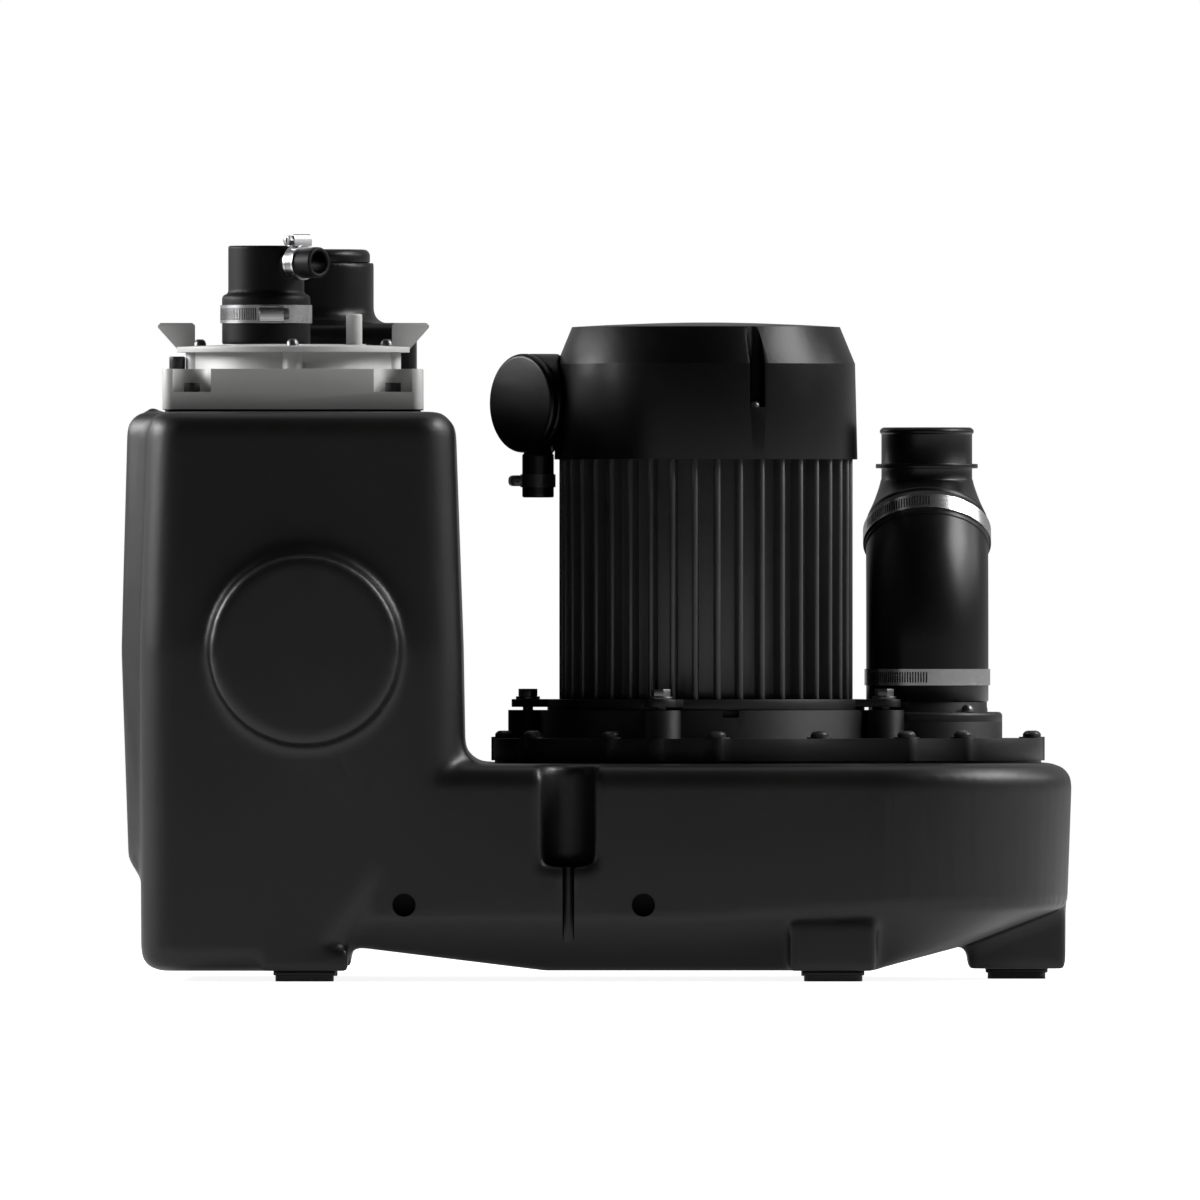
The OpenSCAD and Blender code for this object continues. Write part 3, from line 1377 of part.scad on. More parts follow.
module inspection_cover() {
  color([0.66, 0.67, 0.68]) difference() {
    union() {
      at_base() {
        translate([0, 0, neck_top]) rotate_extrude() polygon([
          [0, 0], [lid_radius, 0], [lid_radius, lid_plate], [lid_radius / 2, lid_plate + lid_crown],
          [0, lid_plate + lid_crown]
        ]);
        for (side = [0, 1]) mirror([side, 0, 0]) wing_ear();
      }
      at_vent() translate([0, 0, -lid_crown - 1]) cylinder(r = vent_spigot, h = 26);
      at_vent() translate([0, 0, -lid_crown - 1]) cylinder(r = collar_radius, h = lid_crown + 1);
      at_base() translate([nipple_offset, -18, neck_top])
        cylinder(r = nipple_radius + 2, h = lid_plate + lid_crown);
    }
    at_vent() translate([0, 0, -20]) cylinder(r = vent_spigot - vent_wall, h = 60);
    at_base() {
      for (a = [0:90:270]) translate(polar(lid_screw_radius, a)) translate([0, 0, neck_top - 1]) {
        cylinder(d = lid_screw_size + 2 * bolt_clearance, h = 30);
        translate([0, 0, 1 + lid_plate]) cylinder(d = 8.2, h = 10);
      }
      translate([nipple_offset, -18, neck_top - 1]) cylinder(r = 2.6 + seat_clearance, h = 30);
    }
  }
}
module wing_ear() {
  inner = neck_radius;
  foot = lid_radius - 0.3;
  top = lid_plate + ear_height - 0.5;
  ear_back = 12;
  translate([0, ear_back + ear_thickness / 2, neck_top]) rotate([90, 0, 0]) linear_extrude(ear_thickness)
    polygon([
      [inner, lid_plate / 2], [foot, lid_plate / 2], [ear_reach, ear_height], [ear_reach, top - 1.5],
      [ear_reach - 1.5, top], [inner + 1.5, top], [inner, top - 1.5]
    ]);
}
module cover_seal() {
  color([0.1, 0.1, 0.1]) at_base() translate([0, 0, neck_top - 1.5])
    ring(neck_radius - 5 - seat_clearance, inspection_radius + 1.5 + seat_clearance, 1.5);
}
module cover_screws() {
  color([0.6, 0.6, 0.62]) at_base() for (a = [0:90:270])
    translate(polar(lid_screw_radius, a)) translate([0, 0, neck_top + lid_plate]) {
      pan_head(7, 4.4);
      translate([0, 0, -lid_plate - 12]) cylinder(d = lid_screw_size, h = lid_plate + 13);
    }
}
module air_nipple() {
  tail = 8;
  color([0.75, 0.76, 0.77]) at_base() translate([nipple_offset, -18, lid_top]) {
    difference() {
      union() {
        disc_edge(nipple_radius, nipple_height, 1.2);
        translate([0, 0, -tail]) cylinder(r = 2.6, h = tail + 1);
      }
      translate([0, 0, -tail - 1]) cylinder(r = 1.4, h = 60);
    }
  }
}
module vent_sleeve() {
  step = 2.6;
  collar_bore = vent_spigot + seat_clearance;
  color([0.06, 0.06, 0.06]) at_vent() difference() {
    union() {
      rotate_extrude() difference() {
        union() {
          square([collar_radius, collar_height - step]);
          square([collar_radius - step, collar_height]);
          translate([collar_radius - step, collar_height - step]) circle(step);
          square([sleeve_radius, sleeve_height]);
        }
        translate([-1, -1]) square([1, sleeve_height + 2]);
      }
      translate([0, 0, branch_height - lid_top]) rotate(branch_turn - 90) rotate([0, 90, 0])
        cylinder(r = branch_radius, h = branch_reach);
    }
    translate([0, 0, -1]) cylinder(r = collar_bore, h = 26.2);
    translate([0, 0, -1]) cylinder(r = sleeve_bore, h = sleeve_height + 2);
    translate([0, 0, branch_height - lid_top]) rotate(branch_turn - 90) rotate([0, 90, 0])
      cylinder(r = branch_bore, h = branch_reach + 1);
  }
}

module switch_housing() {
  round = 10;
  blend = 8;
  shell = 3;
  half_w = switch_width / 2;
  half_d = switch_depth / 2;
  color([0.05, 0.05, 0.05]) at_switch() difference() {
    union() {
      hull() for (x = [-1, 1], y = [-1, 1]) {
        translate([x * (half_w - round), y * (half_d - round), switch_top - round])
          sphere(round, $fn = 32);
        translate([x * (half_w - round), y * (half_d - round), base_low])
          cylinder(r = round, h = 1, $fn = 32);
      }
      translate([-switch_shift, 0, switch_top - 1]) rotate_extrude() {
        square([switch_radius, switch_body_height + 1]);
        difference() {
          square([switch_radius + blend, blend + 1]);
          translate([switch_radius + blend, blend + 1]) circle(blend);
        }
      }
    }
    translate([-half_w + shell, -half_d + shell, base_low + shell])
      cube([switch_width - 2 * shell, switch_depth - 2 * shell, switch_base_height - round - shell]);
    translate([-switch_shift, 0, base_low + 10]) cylinder(r = switch_radius - shell, h = 200);
    translate([0, 0, base_low - 1]) cylinder(r = stem_radius + seat_clearance, h = 20);
  }
}
module switch_cap() {
  lip = 5;
  color([0.05, 0.05, 0.05]) at_switch() translate([-switch_shift, 0, cap_low]) {
    disc_edge(switch_radius - 2.2, switch_cap_height, switch_cap_height / 2);
    translate([0, 0, -lip]) ring(switch_radius - 3 - seat_clearance, switch_radius - 6, lip + 1);
  }
}
module switch_gasket() {
  color([0.1, 0.1, 0.1]) at_switch() translate([0, 0, tower_height]) difference() {
    rounded_plate(switch_width - 3, switch_depth - 3, 8.5, gasket_thickness);
    translate([0, 0, -1]) cylinder(r = stem_radius + 3 + bolt_clearance, h = gasket_thickness + 2);
  }
}
module level_stem() {
  collar = stem_radius + 3;
  color([0.7, 0.7, 0.72]) at_switch() {
    translate([0, 0, tower_height - stem_length]) cylinder(r = stem_radius, h = stem_length + 14);
    translate([0, 0, tower_height - wall - 12])
      cylinder(r = collar, h = base_low - tower_height + wall + 12);
  }
}
module stem_nut() {
  color([0.6, 0.6, 0.6]) at_switch() translate([0, 0, tower_height - wall - 8]) difference() {
    cylinder(d = 27 / cos(30), h = 8, $fn = 6);
    translate([0, 0, -1]) cylinder(r = stem_radius + 3 + seat_clearance, h = 10);
  }
}
module level_float() {
  color([0.85, 0.85, 0.83]) at_switch() translate([0, 0, float_low]) difference() {
    rotate_extrude() {
      translate([0, 5]) square([float_radius, float_height - 10]);
      square([float_radius - 5, float_height]);
      for (z = [5, float_height - 5]) translate([float_radius - 5, z]) circle(5);
    }
    translate([0, 0, -1]) cylinder(r = stem_radius + running_clearance * 2, h = float_height + 2);
  }
}
module float_stops() {
  stop = 5;
  color([0.7, 0.7, 0.72]) at_switch() {
    translate([0, 0, float_low - stop]) ring(stem_radius + 5, stem_radius + seat_clearance, stop);
    translate([0, 0, float_low + float_height + float_travel])
      ring(stem_radius + 5, stem_radius + seat_clearance, stop);
  }
}
module side_plug() {
  color([0.3, 0.3, 0.31]) at_base() translate([-plug_reach, 0, base_top]) {
    disc_edge(plug_radius, 7.5, 1);
    translate([0, 0, -5]) cylinder(r = 2.5, h = 6);
  }
}

tank();
foot_pads();
cover_gasket();
pump_cover();
cover_bolts();
volute_casing();
volute_screws();
cutting_ring();
cutting_ring_screws();
impeller();
cutter_rotor();
cutter_screw();
motor_shaft();
rotor_core();
bearing_inner_races();
bearing_outer_races();
bearing_balls();
shaft_seal();
motor_flange();
motor_bolts();
motor_washers();
stator_housing();
stator_core();
stator_winding();
upper_shield();
run_capacitor();
motor_hood();
hood_screws();
terminal_housing();
terminal_block();
terminal_lid();
cable_nozzle();
cable_clamp();
discharge_nozzle();
nozzle_screws();
discharge_elbow();
lower_clamp();
upper_clamp();
outlet_piece();
check_flap();
flap_pin();
inspection_base();
base_gasket();
base_screws();
inspection_cover();
cover_seal();
cover_screws();
air_nipple();
vent_sleeve();
vent_clamp();
branch_clamp();
clamp_screws();
switch_housing();
switch_cap();
switch_gasket();
level_stem();
stem_nut();
level_float();
float_stops();
side_plug();
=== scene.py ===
"""Looks for the floor-standing macerator lifting pump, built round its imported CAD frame."""

import json
import math

import bpy
from mathutils import Matrix, Vector


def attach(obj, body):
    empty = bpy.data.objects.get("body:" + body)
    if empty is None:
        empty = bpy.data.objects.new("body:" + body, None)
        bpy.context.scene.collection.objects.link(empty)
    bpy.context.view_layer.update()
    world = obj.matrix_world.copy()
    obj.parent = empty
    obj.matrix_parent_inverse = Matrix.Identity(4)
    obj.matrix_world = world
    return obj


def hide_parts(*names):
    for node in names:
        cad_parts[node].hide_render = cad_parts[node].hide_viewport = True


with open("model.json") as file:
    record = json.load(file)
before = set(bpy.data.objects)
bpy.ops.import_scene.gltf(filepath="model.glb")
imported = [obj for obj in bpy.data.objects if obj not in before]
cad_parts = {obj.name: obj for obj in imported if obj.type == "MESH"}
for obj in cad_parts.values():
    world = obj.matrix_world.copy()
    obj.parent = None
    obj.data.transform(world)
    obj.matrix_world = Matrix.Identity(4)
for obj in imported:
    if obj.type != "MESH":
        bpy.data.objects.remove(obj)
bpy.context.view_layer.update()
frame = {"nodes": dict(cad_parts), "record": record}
NODES = frame["nodes"]
SLOTS = {row["node"]: row["material_slot"] for row in frame["record"]["subparts"]}
STATION = "station"
MM = 0.001

# Places and sizes of the CAD model, in millimetres and degrees
MOTOR_X = 63.2
HOOD_BASE = 301.0
HOOD_SCREW_PITCH, HOOD_SCREW_SEAT = 82.0, 331.0
HOOD_SCREW_ANGLES = (-70, 40, 130)
RIM_BOLT_SEAT = 140.2

OUTLET_X, OUTLET_Y = 191.7, 14.0
NOZZLE_SCREW_PITCH, NOZZLE_SCREW_SEAT = 39.2, 154.6
NOZZLE_SCREW_ANGLES = (-54, 36, 126)
ELBOW_RADIUS, ELBOW_WALL, ELBOW_FOOT = 35.5, 4.2, 160.4
LOWER_CLAMP_HEIGHT, UPPER_CLAMP_RUN = 170.0, 3.3
BEND, BEND_RADIUS, BEND_START = 35.0, 95.0, 195.0
CUFF_RADIUS, CUFF_LENGTH = 36.2, 16.5
CUFF_AXIS = Vector((0, math.sin(math.radians(BEND)), math.cos(math.radians(BEND))))
CUFF_START = Vector((
    OUTLET_X,
    OUTLET_Y + BEND_RADIUS * (1 - math.cos(math.radians(BEND))),
    BEND_START + BEND_RADIUS * math.sin(math.radians(BEND)),
))
CUFF_END = CUFF_START + CUFF_LENGTH * CUFF_AXIS
SPIGOT_FOOT = Vector((OUTLET_X, CUFF_END.y + 12.5, 289.0))

VENT = (-191.4, -55.0)
VENT_CLAMP_HEIGHT, BRANCH_HEIGHT, BRANCH_CLAMP_RUN = 379.6, 414.5, 23.6
LID = (-175.7, -55.0)
LID_SCREW_PITCH, LID_SCREW_SEAT = 54.0, 365.9
LID_SCREW_ANGLES = (0, 90, 180, 270)
CABLE_CLAMP = (-34.2, -2.0, 284.9)

# The tank's front and rear walls, each with its side and the shift of what is set into it
WALL_FACE = 193.0
REAR_SHIFT = 8.0
WALLS = ((-1, 0.0), (1, REAR_SHIFT))
FIXINGS = (-111.0, 26.7)
FIXING_HEIGHT, FIXING_RADIUS, FIXING_END = 44.0, 6.7, 173.6
GROOVE_X, GROOVE_Y, GROOVE_Z = -16.5, 191.0, 28.0
GROOVE_SIZES, GROOVE_ROUND = (6.7, 20.7, 78.0), 3.3

# The radius of the pin hole that a turned piece leaves at its pole, before it is shut
PIN = 0.05


# Hands: selecting, placing, copying and finishing pieces


def let_go():
    bpy.ops.object.select_all(action="DESELECT")


def hold(obj):
    """Makes one piece the only selected and active one."""
    let_go()
    obj.select_set(True)
    bpy.context.view_layer.objects.active = obj


def edit(obj, mode="FACE"):
    """Opens a piece in edit mode with all of it selected."""
    hold(obj)
    bpy.ops.object.mode_set(mode="EDIT")
    bpy.ops.mesh.select_mode(type=mode)
    bpy.ops.mesh.select_all(action="SELECT")


def done():
    bpy.ops.object.mode_set(mode="OBJECT")


def pick(obj, test):
    """Selects, in edit mode, the faces whose middle and normal pass a test."""
    bpy.ops.mesh.select_all(action="DESELECT")
    bpy.ops.object.mode_set(mode="OBJECT")
    for face in obj.data.polygons:
        face.select = test(face.center, face.normal)
    bpy.ops.object.mode_set(mode="EDIT")


def pick_edges(obj, test):
    """Selects, in edit mode, the edges whose two ends pass a test."""
    bpy.ops.mesh.select_all(action="DESELECT")
    bpy.ops.object.mode_set(mode="OBJECT")
    points = obj.data.vertices
    for edge in obj.data.edges:
        edge.select = test(*(points[k].co for k in edge.vertices))
    bpy.ops.object.mode_set(mode="EDIT")


def shift(x, y, z):
    """A move by millimetres."""
    return Matrix.Translation(Vector((x, y, z)) * MM)


def turn(axis, degrees):
    """A turn about one of the axes through the origin."""
    return Matrix.Rotation(math.radians(degrees), 4, axis)


def named(name):
    """Takes the active piece, just added or joined, under its own name."""
    obj = bpy.context.active_object
    obj.name = obj.data.name = name
    return obj


def place(obj, matrix):
    """Sets a piece made at the origin into its place, and keeps the place in its mesh."""
    bpy.context.view_layer.update()
    obj.matrix_world = matrix @ obj.matrix_world
    hold(obj)
    bpy.ops.object.transform_apply(location=True, rotation=True, scale=True)


def rod(name, radius, length, sides, matrix, ends="NGON"):
    """A cylinder about the origin, set into its place."""
    let_go()
    bpy.ops.mesh.primitive_cylinder_add(
        vertices=sides, radius=radius * MM, depth=length * MM, end_fill_type=ends
    )
    obj = named(name)
    place(obj, matrix)
    return obj


def block(name, sizes, matrix):
    """A block about the origin, set into its place."""
    let_go()
    bpy.ops.mesh.primitive_cube_add(size=1.0)
    obj = named(name)
    place(obj, matrix @ Matrix.Diagonal((*(length * MM for length in sizes), 1.0)))
    return obj


def grow(offset, ratio=1.0, centre=(0, 0, 0), tip=0.0):
    """Draws the selected ring on by an offset, then scales and tips it about its new middle."""
    middle = tuple(Vector(centre) * MM)
    bpy.ops.mesh.extrude_region_move(TRANSFORM_OT_translate={"value": tuple(Vector(offset) * MM)})
    if ratio != 1.0:
        bpy.ops.transform.resize(value=(ratio, ratio, ratio), center_override=middle)
    if tip:
        bpy.ops.transform.rotate(value=-tip, orient_axis="X", center_override=middle)


def turned(name, rings, sides=96):
    """A round piece drawn from ring to ring, each given by its height and radius."""
    height, radius = rings[0]
    let_go()
    bpy.ops.mesh.primitive_circle_add(vertices=sides, radius=radius * MM)
    obj = named(name)
    place(obj, shift(0, 0, height))
    edit(obj, "EDGE")
    for z, r in rings[1:]:
        grow((0, 0, z - height), r / radius, (0, 0, z))
        height, radius = z, r
    done()
    close_up(obj)
    return obj


def close_up(obj):
    """Merges what meets, shuts pin holes at the poles and turns the faces outwards."""
    edit(obj, "VERT")
    bpy.ops.mesh.remove_doubles(threshold=0.02 * MM)
    bpy.ops.mesh.normals_make_consistent(inside=False)
    done()


def apply_modifiers(obj):
    hold(obj)
    for modifier in list(obj.modifiers):
        bpy.ops.object.modifier_apply(modifier=modifier.name)


def thicken(obj, wall):
    """Gives a skin its wall, inwards."""
    modifier = obj.modifiers.new("wall", "SOLIDIFY")
    modifier.thickness = wall * MM
    modifier.offset = -1.0
    apply_modifiers(obj)


def cut(obj, cutter):
    """Takes a cutter out of a piece and clears it away."""
    modifier = obj.modifiers.new("cut", "BOOLEAN")
    modifier.operation = "DIFFERENCE"
    modifier.solver = "EXACT"
    modifier.object = cutter
    apply_modifiers(obj)
    bpy.data.objects.remove(cutter)


def bevel(obj, width, segments=2, degrees=30):
    """Eases the edges that are sharper than an angle."""
    modifier = obj.modifiers.new("edge", "BEVEL")
    modifier.width = width * MM
    modifier.segments = segments
    modifier.limit_method = "ANGLE"
    modifier.angle_limit = math.radians(degrees)
    modifier.use_clamp_overlap = True
    apply_modifiers(obj)


def smooth(obj, degrees):
    """Shades a piece smooth, but for edges that are sharper than an angle."""
    hold(obj)
    bpy.ops.object.shade_smooth_by_angle(angle=math.radians(degrees))


def join(name, pieces):
    """Joins pieces to one, which keeps the finishes of all."""
    let_go()
    for piece in pieces:
        piece.select_set(True)
    bpy.context.view_layer.objects.active = pieces[0]
    bpy.ops.object.join()
    return named(name)


def cad_copy(node, name):
    """A merged copy of a CAD node's mesh, with its flat faces joined."""
    obj = bpy.data.objects.new(name, NODES[node].data.copy())
    bpy.context.scene.collection.objects.link(obj)
    obj.data.name = name
    obj.data.materials.clear()
    hold(obj)
    bpy.ops.mesh.customdata_custom_splitnormals_clear()
    edit(obj, "VERT")
    bpy.ops.mesh.remove_doubles(threshold=2e-6)
    bpy.ops.mesh.dissolve_limited(angle_limit=math.radians(0.4))
    done()
    return obj


def softened(node, name, voxel, passes, fill=()):
    """A moulded copy of a CAD node, with any fill, remeshed finely and smoothed over its edges."""
    obj = join(name, [cad_copy(node, name), *fill])
    remesh = obj.modifiers.new("mould", "REMESH")
    remesh.mode = "VOXEL"
    remesh.voxel_size = voxel * MM
    soften = obj.modifiers.new("soften", "SMOOTH")
    soften.factor = 0.5
    soften.iterations = passes
    apply_modifiers(obj)
    return obj


def keep(obj, slot, material, *nodes, body=STATION):
    """Rides a finished piece on its body, in place of the nodes it stands for."""
    if material:
        obj.data.materials.clear()
        obj.data.materials.append(material)
    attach(obj, body)
    if nodes:
        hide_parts(*nodes)


# Finishes


class Field:
    """A shader value. Sums on it add Math nodes to its material."""

    def __init__(self, tree, socket):
        self.tree = tree
        self.socket = socket

    def node(self, kind, sockets, out=0, **settings):
        """A new node of the same tree, with its inputs fed by values or other fields."""
        made = self.tree.nodes.new(kind)
        for key, value in settings.items():
            setattr(made, key, value)
        for key, value in sockets.items():
            if isinstance(value, Field):
                self.tree.links.new(value.socket, made.inputs[key])
            else:
                made.inputs[key].default_value = value
        return Field(self.tree, made.outputs[out])

    def _sum(self, operation, first, second):
        return self.node("ShaderNodeMath", {0: first, 1: second}, operation=operation)

    def __add__(self, other):
        return self._sum("ADD", self, other)

    def __radd__(self, other):
        return self._sum("ADD", other, self)

    def __sub__(self, other):
        return self._sum("SUBTRACT", self, other)

    def __mul__(self, other):
        return self._sum("MULTIPLY", self, other)

    def __rmul__(self, other):
        return self._sum("MULTIPLY", other, self)

    def noise(self, scale, detail=2.0, rough=0.5, stretch=None):
        """A noise over these coordinates, drawn out where a stretch is given."""
        at = self
        if stretch:
            at = self.node("ShaderNodeMapping", {"Vector": self, "Scale": stretch})
        return at.node(
            "ShaderNodeTexNoise",
            {"Vector": at, "Scale": scale, "Detail": detail, "Roughness": rough},
        )

    def band(self, low, high):
        """Zero below low, one above high, straight between."""
        return self.node(
            "ShaderNodeMapRange",
            {"Value": self, "From Min": low, "From Max": high, "To Min": 0.0, "To Max": 1.0},
            clamp=True,
        )

    def blend(self, first, second):
        """Mixes two colours, given as colours or as fields."""
        return self.node(
            "ShaderNodeMix", {"Factor": self, 6: first, 7: second}, out=2, data_type="RGBA"
        )

    def between(self, first, second):
        """Mixes two colours that are given without their alpha."""
        return self.blend((*first, 1.0), (*second, 1.0))


def neutral(level):
    """A colour with no tint."""
    return (level, level, level)


def begin(name):
    """A new material with its Principled shader and its Object coordinates."""
    material = bpy.data.materials.new(name)
    material.use_nodes = True
    shader = material.node_tree.nodes["Principled BSDF"]
    coords = material.node_tree.nodes.new("ShaderNodeTexCoord")
    return material, shader, Field(material.node_tree, coords.outputs["Object"])


def feed(material, shader, **values):
    """Sets the shader's inputs to values or fields."""
    for key, value in values.items():
        socket = shader.inputs[key.replace("_", " ")]
        if isinstance(value, Field):
            material.node_tree.links.new(value.socket, socket)
        else:
            socket.default_value = value


def bump(at, height, strength, distance):
    return at.node("ShaderNodeBump", {"Height": height, "Strength": strength, "Distance": distance})


def moulded(name, tone, deeper, gloss, grain, depth, specular):
    """Moulded plastic or rubber: faint mottling, a fine grain and scuffed patches."""
    material, shader, at = begin(name)
    mottle = at.noise(scale=18.0, detail=4.0, rough=0.6)
    fine = at.noise(scale=grain, rough=0.6)
    peel = at.noise(scale=grain / 6.0)
    scuff = at.noise(scale=60.0, detail=5.0, rough=0.75).band(0.55, 0.75)
    feed(
        material,
        shader,
        Base_Color=mottle.band(0.3, 0.7).between(deeper, tone),
        Roughness=gloss + 0.10 * mottle + 0.05 * scuff - 0.05,
        Specular_IOR_Level=specular,
        Normal=bump(at, fine * 0.6 + peel, depth, distance=0.0004),
    )
    return material


def metal(name, tone, darker, gloss, brush, depth):
    """Bright or dulled metal, with a fine grain that its brush may draw out to lines."""
    material, shader, at = begin(name)
    lines = at.noise(scale=1.0, detail=3.0, rough=0.6, stretch=brush)
    cloud = at.noise(scale=55.0, detail=3.0, rough=0.6)
    feed(
        material,
        shader,
        Base_Color=cloud.band(0.3, 0.75).between(darker, tone),
        Metallic=1.0,
        Roughness=gloss + 0.12 * lines + 0.06 * cloud - 0.08,
        Normal=bump(at, lines, depth, distance=0.0002),
    )
    return material


def painted(name, tone, deeper, gloss, depth):
    """Painted or anodised metal with soft mottling and a fine powder texture."""
    material, shader, at = begin(name)
    mottle = at.noise(scale=30.0, detail=3.0, rough=0.6)
    powder = at.noise(scale=1400.0, rough=0.6)
    feed(
        material,
        shader,
        Base_Color=mottle.band(0.3, 0.7).between(deeper, tone),
        Roughness=gloss + 0.10 * mottle - 0.05,
        Normal=bump(at, powder, depth, distance=0.0003),
    )
    return material


def layered(name, tone, deeper, gloss, pitch):
    """Stacked sheets or wound wire: fine lines across the height."""
    material, shader, at = begin(name)
    lines = at.node(
        "ShaderNodeTexWave",
        {"Vector": at, "Scale": pitch, "Distortion": 0.6, "Detail": 2.0},
        out=1,
        wave_type="BANDS",
        bands_direction="Z",
    )
    feed(
        material,
        shader,
        Base_Color=lines.between(deeper, tone),
        Metallic=1.0,
        Roughness=gloss + 0.15 * at.noise(scale=90.0),
        Normal=bump(at, lines, strength=0.4, distance=0.0004),
    )
    return material


TANK = moulded(
    "tank_black", tone=(0.0060, 0.0059, 0.0056), deeper=(0.0044, 0.0043, 0.0041),
    gloss=0.40, grain=900.0, depth=0.10, specular=0.38,
)
RUBBER = moulded(
    "rubber_black", tone=neutral(0.0028), deeper=neutral(0.0020),
    gloss=0.33, grain=1300.0, depth=0.10, specular=0.28,
)
CASTING = moulded(
    "casting_black", tone=neutral(0.0080), deeper=neutral(0.0056),
    gloss=0.44, grain=1100.0, depth=0.18, specular=0.36,
)
HOOD = moulded(
    "hood_black", tone=(0.0020, 0.0020, 0.0021), deeper=(0.0014, 0.0014, 0.0015),
    gloss=0.31, grain=1500.0, depth=0.12, specular=0.22,
)
MATTE = moulded(
    "matte_rubber", tone=neutral(0.0024), deeper=neutral(0.0017),
    gloss=0.46, grain=1300.0, depth=0.12, specular=0.14,
)
GREY = moulded(
    "grey_plastic", tone=(0.52, 0.525, 0.515), deeper=(0.475, 0.48, 0.47),
    gloss=0.42, grain=1000.0, depth=0.08, specular=0.5,
)
PALE = moulded(
    "pale_plastic", tone=(0.76, 0.76, 0.74), deeper=(0.70, 0.70, 0.68),
    gloss=0.42, grain=1000.0, depth=0.08, specular=0.5,
)
HOUSING = painted(
    "housing_dark", tone=(0.050, 0.050, 0.052), deeper=(0.038, 0.038, 0.040), gloss=0.40, depth=0.08
)
DARK_STEEL = painted(
    "dark_steel", tone=neutral(0.022), deeper=neutral(0.014), gloss=0.34, depth=0.10
)
CAST = painted(
    "wheel_iron", tone=(0.16, 0.16, 0.17), deeper=(0.10, 0.10, 0.11), gloss=0.55, depth=0.30
)
STEEL = metal(
    "bright_steel", tone=(0.60, 0.60, 0.61), darker=(0.52, 0.52, 0.53),
    gloss=0.24, brush=(40.0, 40.0, 2600.0), depth=0.012,
)
ZINC = metal(
    "zinc_steel", tone=(0.20, 0.20, 0.205), darker=(0.14, 0.14, 0.145),
    gloss=0.36, brush=(300.0, 300.0, 300.0), depth=0.02,
)
IRON = layered(
    "core_iron", tone=(0.30, 0.30, 0.31), deeper=(0.16, 0.16, 0.17), gloss=0.40, pitch=320.0
)
COPPER = layered(
    "winding_copper", tone=(0.62, 0.27, 0.11), deeper=(0.38, 0.14, 0.05), gloss=0.34, pitch=260.0
)

# The finish of each material slot, and of single nodes that differ from their slot
FINISHES = {
    "tank_black": TANK,
    "rubber_black": RUBBER,
    "casting_black": CASTING,
    "housing_dark": HOUSING,
    "gloss_black": HOOD,
    "dark_steel": DARK_STEEL,
    "steel": STEEL,
    "core_iron": IRON,
    "winding_copper": COPPER,
    "grey_plastic": GREY,
    "pale_plastic": PALE,
    "wheel_iron": CAST,
}
OWN_FINISHES = {"vent_sleeve": MATTE, "motor_bolts": ZINC, "motor_washers": ZINC}


def finish_of(node):
    return OWN_FINISHES.get(node, FINISHES[SLOTS[node]])


for node_name, node_object in NODES.items():
    node_object.data.materials.clear()
    node_object.data.materials.append(FINISHES[SLOTS[node_name]])


# Camera and studio

# The photograph: its side in pixels, its scale, and its middle in the part's frame
PHOTO_SIDE, MM_PER_PIXEL = 1200, 0.58
PHOTO_X, PHOTO_Z = 1.74, 219.5

# Each soft box: name, watts, then its sizes, place and aim in metres
SOFT_BOXES = (
    ("left_box", 36.0, (0.6, 1.2), (-1.80, 0.05, 0.88), (0, 0, 0.7)),
    ("left_rear_box", 8.0, (0.6, 1.5), (-1.50, 0.70, 1.00), (0, 0, 0.4)),
    ("right_box", 42.0, (0.8, 1.1), (1.70, -0.30, 1.55), (0, 0, 0.2)),
    ("right_side_box", 9.0, (0.5, 1.6), (1.80, 0.15, 0.95), (0, 0, 0.3)),
    ("right_rear_box", 8.0, (0.8, 1.0), (1.35, 0.45, 1.90), (0, 0, 0.2)),
    ("top_box", 3.0, (1.6, 1.0), (0, 0.5, 2.2), (0, 0, 0.2)),
)


def front_view():
    """The photograph's straight front view, from far off through a long lens."""
    lens, sensor = 1200.0, 36.0
    distance = PHOTO_SIDE * MM_PER_PIXEL * MM * lens / sensor
    camera = bpy.data.cameras.new("front_view")
    camera.lens = lens
    camera.sensor_width = sensor
    camera.clip_start, camera.clip_end = 1.0, 2 * distance
    rig = bpy.data.objects.new("front_view", camera)
    rig.location = (PHOTO_X * MM, -distance, PHOTO_Z * MM)
    rig.rotation_euler = (math.radians(90), 0, 0)
    scene = bpy.context.scene
    scene.view_settings.view_transform = "Standard"
    scene.collection.objects.link(rig)
    scene.camera = rig


def ray_kinds(tree):
    """Two fields of a tree: one for what the camera sees, and one for what is mirrored."""
    path = tree.nodes.new("ShaderNodeLightPath").outputs
    mirrored = Field(tree, path["Is Glossy Ray"]) + Field(tree, path["Is Transmission Ray"])
    return Field(tree, path["Is Camera Ray"]), mirrored


def white_room():
    """A world that the camera sees as white, but that lights from behind more than from the front."""
    world = bpy.data.worlds.new("white_room")
    world.use_nodes = True
    tree = world.node_tree
    facing = Field(tree, tree.nodes.new("ShaderNodeTexCoord").outputs["Generated"])
    depth = facing.node("ShaderNodeSeparateXYZ", {"Vector": facing}, out=1).band(-0.1, 0.7)
    shown, mirrored = ray_kinds(tree)
    lit = depth.between(neutral(0.03), (0.35, 0.35, 0.355))
    gleam = depth.between(neutral(0.006), neutral(0.34))
    shade = shown.blend(mirrored.blend(lit, gleam), (1.0, 1.0, 1.0, 1.0))
    tree.links.new(shade.socket, tree.nodes["Background"].inputs["Color"])
    bpy.context.scene.world = world


